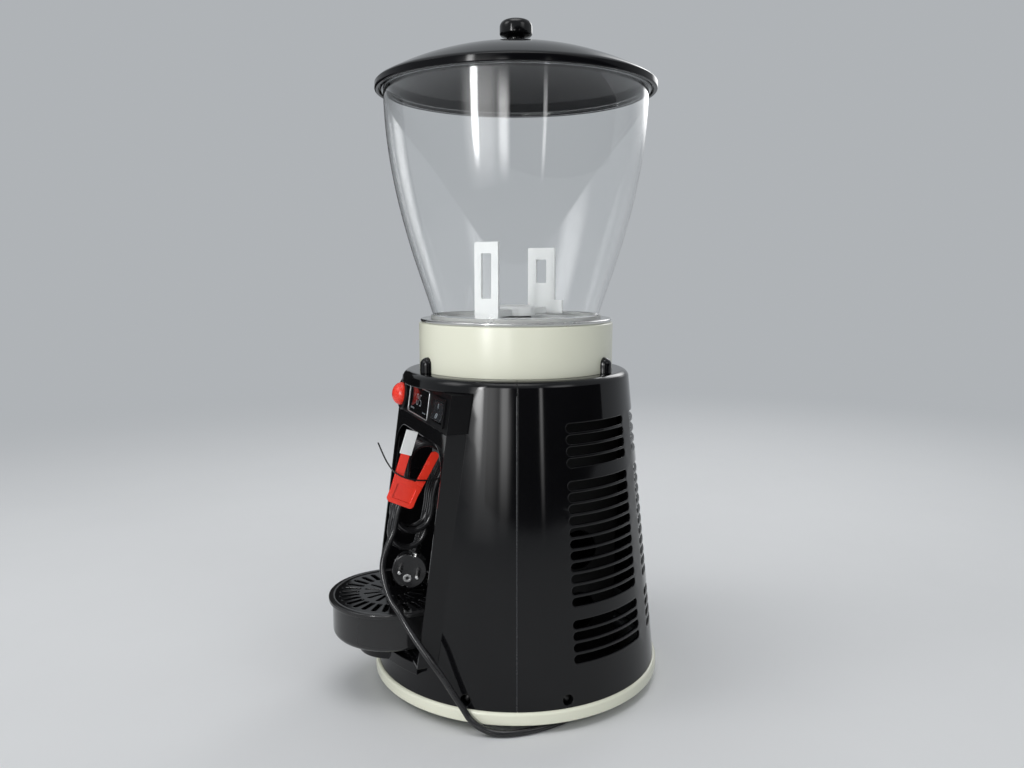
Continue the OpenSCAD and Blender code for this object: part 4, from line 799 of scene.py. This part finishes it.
floor_mat = surface("floor", (0.81, 0.815, 0.82), (0.83, 0.835, 0.84), (0.5, 0.6), spread=3, grain=400,
                    bump=0.02, edge=0, Specular_IOR_Level=0.0)
floor = card("floor", [(i * FLOOR_W2, j * FLOOR_W2, 0) for i, j in ((-1, -1), (1, -1), (1, 1), (-1, 1))],
             floor_mat)
tree = floor_mat.node_tree
reach = add(tree, "VectorMath")
reach.operation = "LENGTH"
feed(tree, reach.inputs[0], add(tree, "TexCoord").outputs["Object"])
fade = add(tree, "MapRange", Value=reach.outputs["Value"], From_Min=FADE_NEAR, From_Max=FADE_FAR)
fade.interpolation_type = "SMOOTHSTEP"
blend(tree, "Material Output", reckon(tree, "MULTIPLY", fade.outputs["Result"], seen_rays(tree)),
      tree.nodes["Principled BSDF"].outputs["BSDF"],
      add(tree, "Emission", Color=(*PALE, 1)).outputs["Emission"])


def area(name, at, look, size, power):
    """A soft box that fades towards its edges."""
    data = bpy.data.lights.new(name, "AREA")
    data.shape = "RECTANGLE"
    data.size, data.size_y = size
    data.energy = power
    data.use_nodes = True
    tree = data.node_tree
    axes = add(tree, "SeparateXYZ", Vector=add(tree, "NewGeometry").outputs["Parametric"])
    fades = []
    for axis in ("X", "Y"):
        inward = reckon(tree, "PINGPONG", axes.outputs[axis], 0.5)
        soft = add(tree, "MapRange", Value=inward, From_Max=LAMP_EDGE, To_Max=LAMP_MIDDLE)
        soft.interpolation_type = "SMOOTHSTEP"
        fades.append(soft.outputs["Result"])
    feed(tree, tree.nodes["Emission"].inputs["Strength"], reckon(tree, "MULTIPLY", *fades))
    obj = show(name, data)
    obj.location = at
    aim(obj, Vector(look) - Vector(at))
    obj.visible_camera = False
    return obj


def spare_floor(lamp):
    """The lamp lights the object alone, because it stands low over the floor."""
    lit = bpy.data.collections.new(lamp.name + "_receivers")
    lit.objects.link(floor)
    lit.collection_objects[0].light_linking.link_state = "EXCLUDE"
    lamp.light_linking.receiver_collection = lit


# Each lamp has its place, what it looks at, its width and height, and its power in watts
LOW_LAMPS = (
    ("strip", (0.86, -1.2, 0.72), (0, 0.02, 0.36), (0.2, 1.2), 10),
    ("wing", (1.05, -1.2, 0.55), (0, 0.02, 0.3), (1.1, 1.3), 7),
    ("slit", (1.36, -0.82, 0.5), (0, 0.02, 0.36), (0.34, 1.0), 3.2),
    ("gleam", (1.6, 0.06, 0.5), (0, 0.02, 0.36), (0.12, 1.0), 0.8))
HIGH_LAMPS = (
    ("key", (-0.2, -2.0, 2.0), (0, 0, 0.3), (1.7, 1.7), 17),
    ("fill", (2.4, 1.2, 1.9), (0, 0, 0.35), (1.8, 1.5), 9),
    ("rear", (-1.5, 1.9, 1.5), (0, 0, 0.3), (1.6, 1.6), 16),
    ("top", (0.3, -0.2, 2.8), (0, 0, 0), (2.4, 2.4), 32))
for lamp in LOW_LAMPS:
    spare_floor(area(*lamp))
for lamp in HIGH_LAMPS:
    area(*lamp)


def flag(name, x, y0, y1, top):
    """A dark card that glossy surfaces reflect, and that takes no light from the object."""
    obj = card(name, [(x, y0, 0.01), (x, y1, 0.01), (x, y1, top), (x, y0, top)], black_paint)
    obj.visible_camera = False
    obj.visible_diffuse = False
    obj.visible_transmission = False
    obj.visible_shadow = False


flag("flag_left", -1.4, -1.7, 0.1, 0.9)
flag("flag_right", 1.95, -2.2, 5.0, 1.2)

world = bpy.data.worlds.new("studio")
scene.world = world
world.use_nodes = True
tree = world.node_tree
sky = tree.nodes["Background"]
feed(tree, sky.inputs["Color"], (*PALE, 1))
feed(tree, sky.inputs["Strength"], SKY_LIGHT)
backdrop = add(tree, "Background", Color=(*PALE, 1))
blend(tree, "World Output", seen_rays(tree), sky.outputs["Background"], backdrop.outputs["Background"])
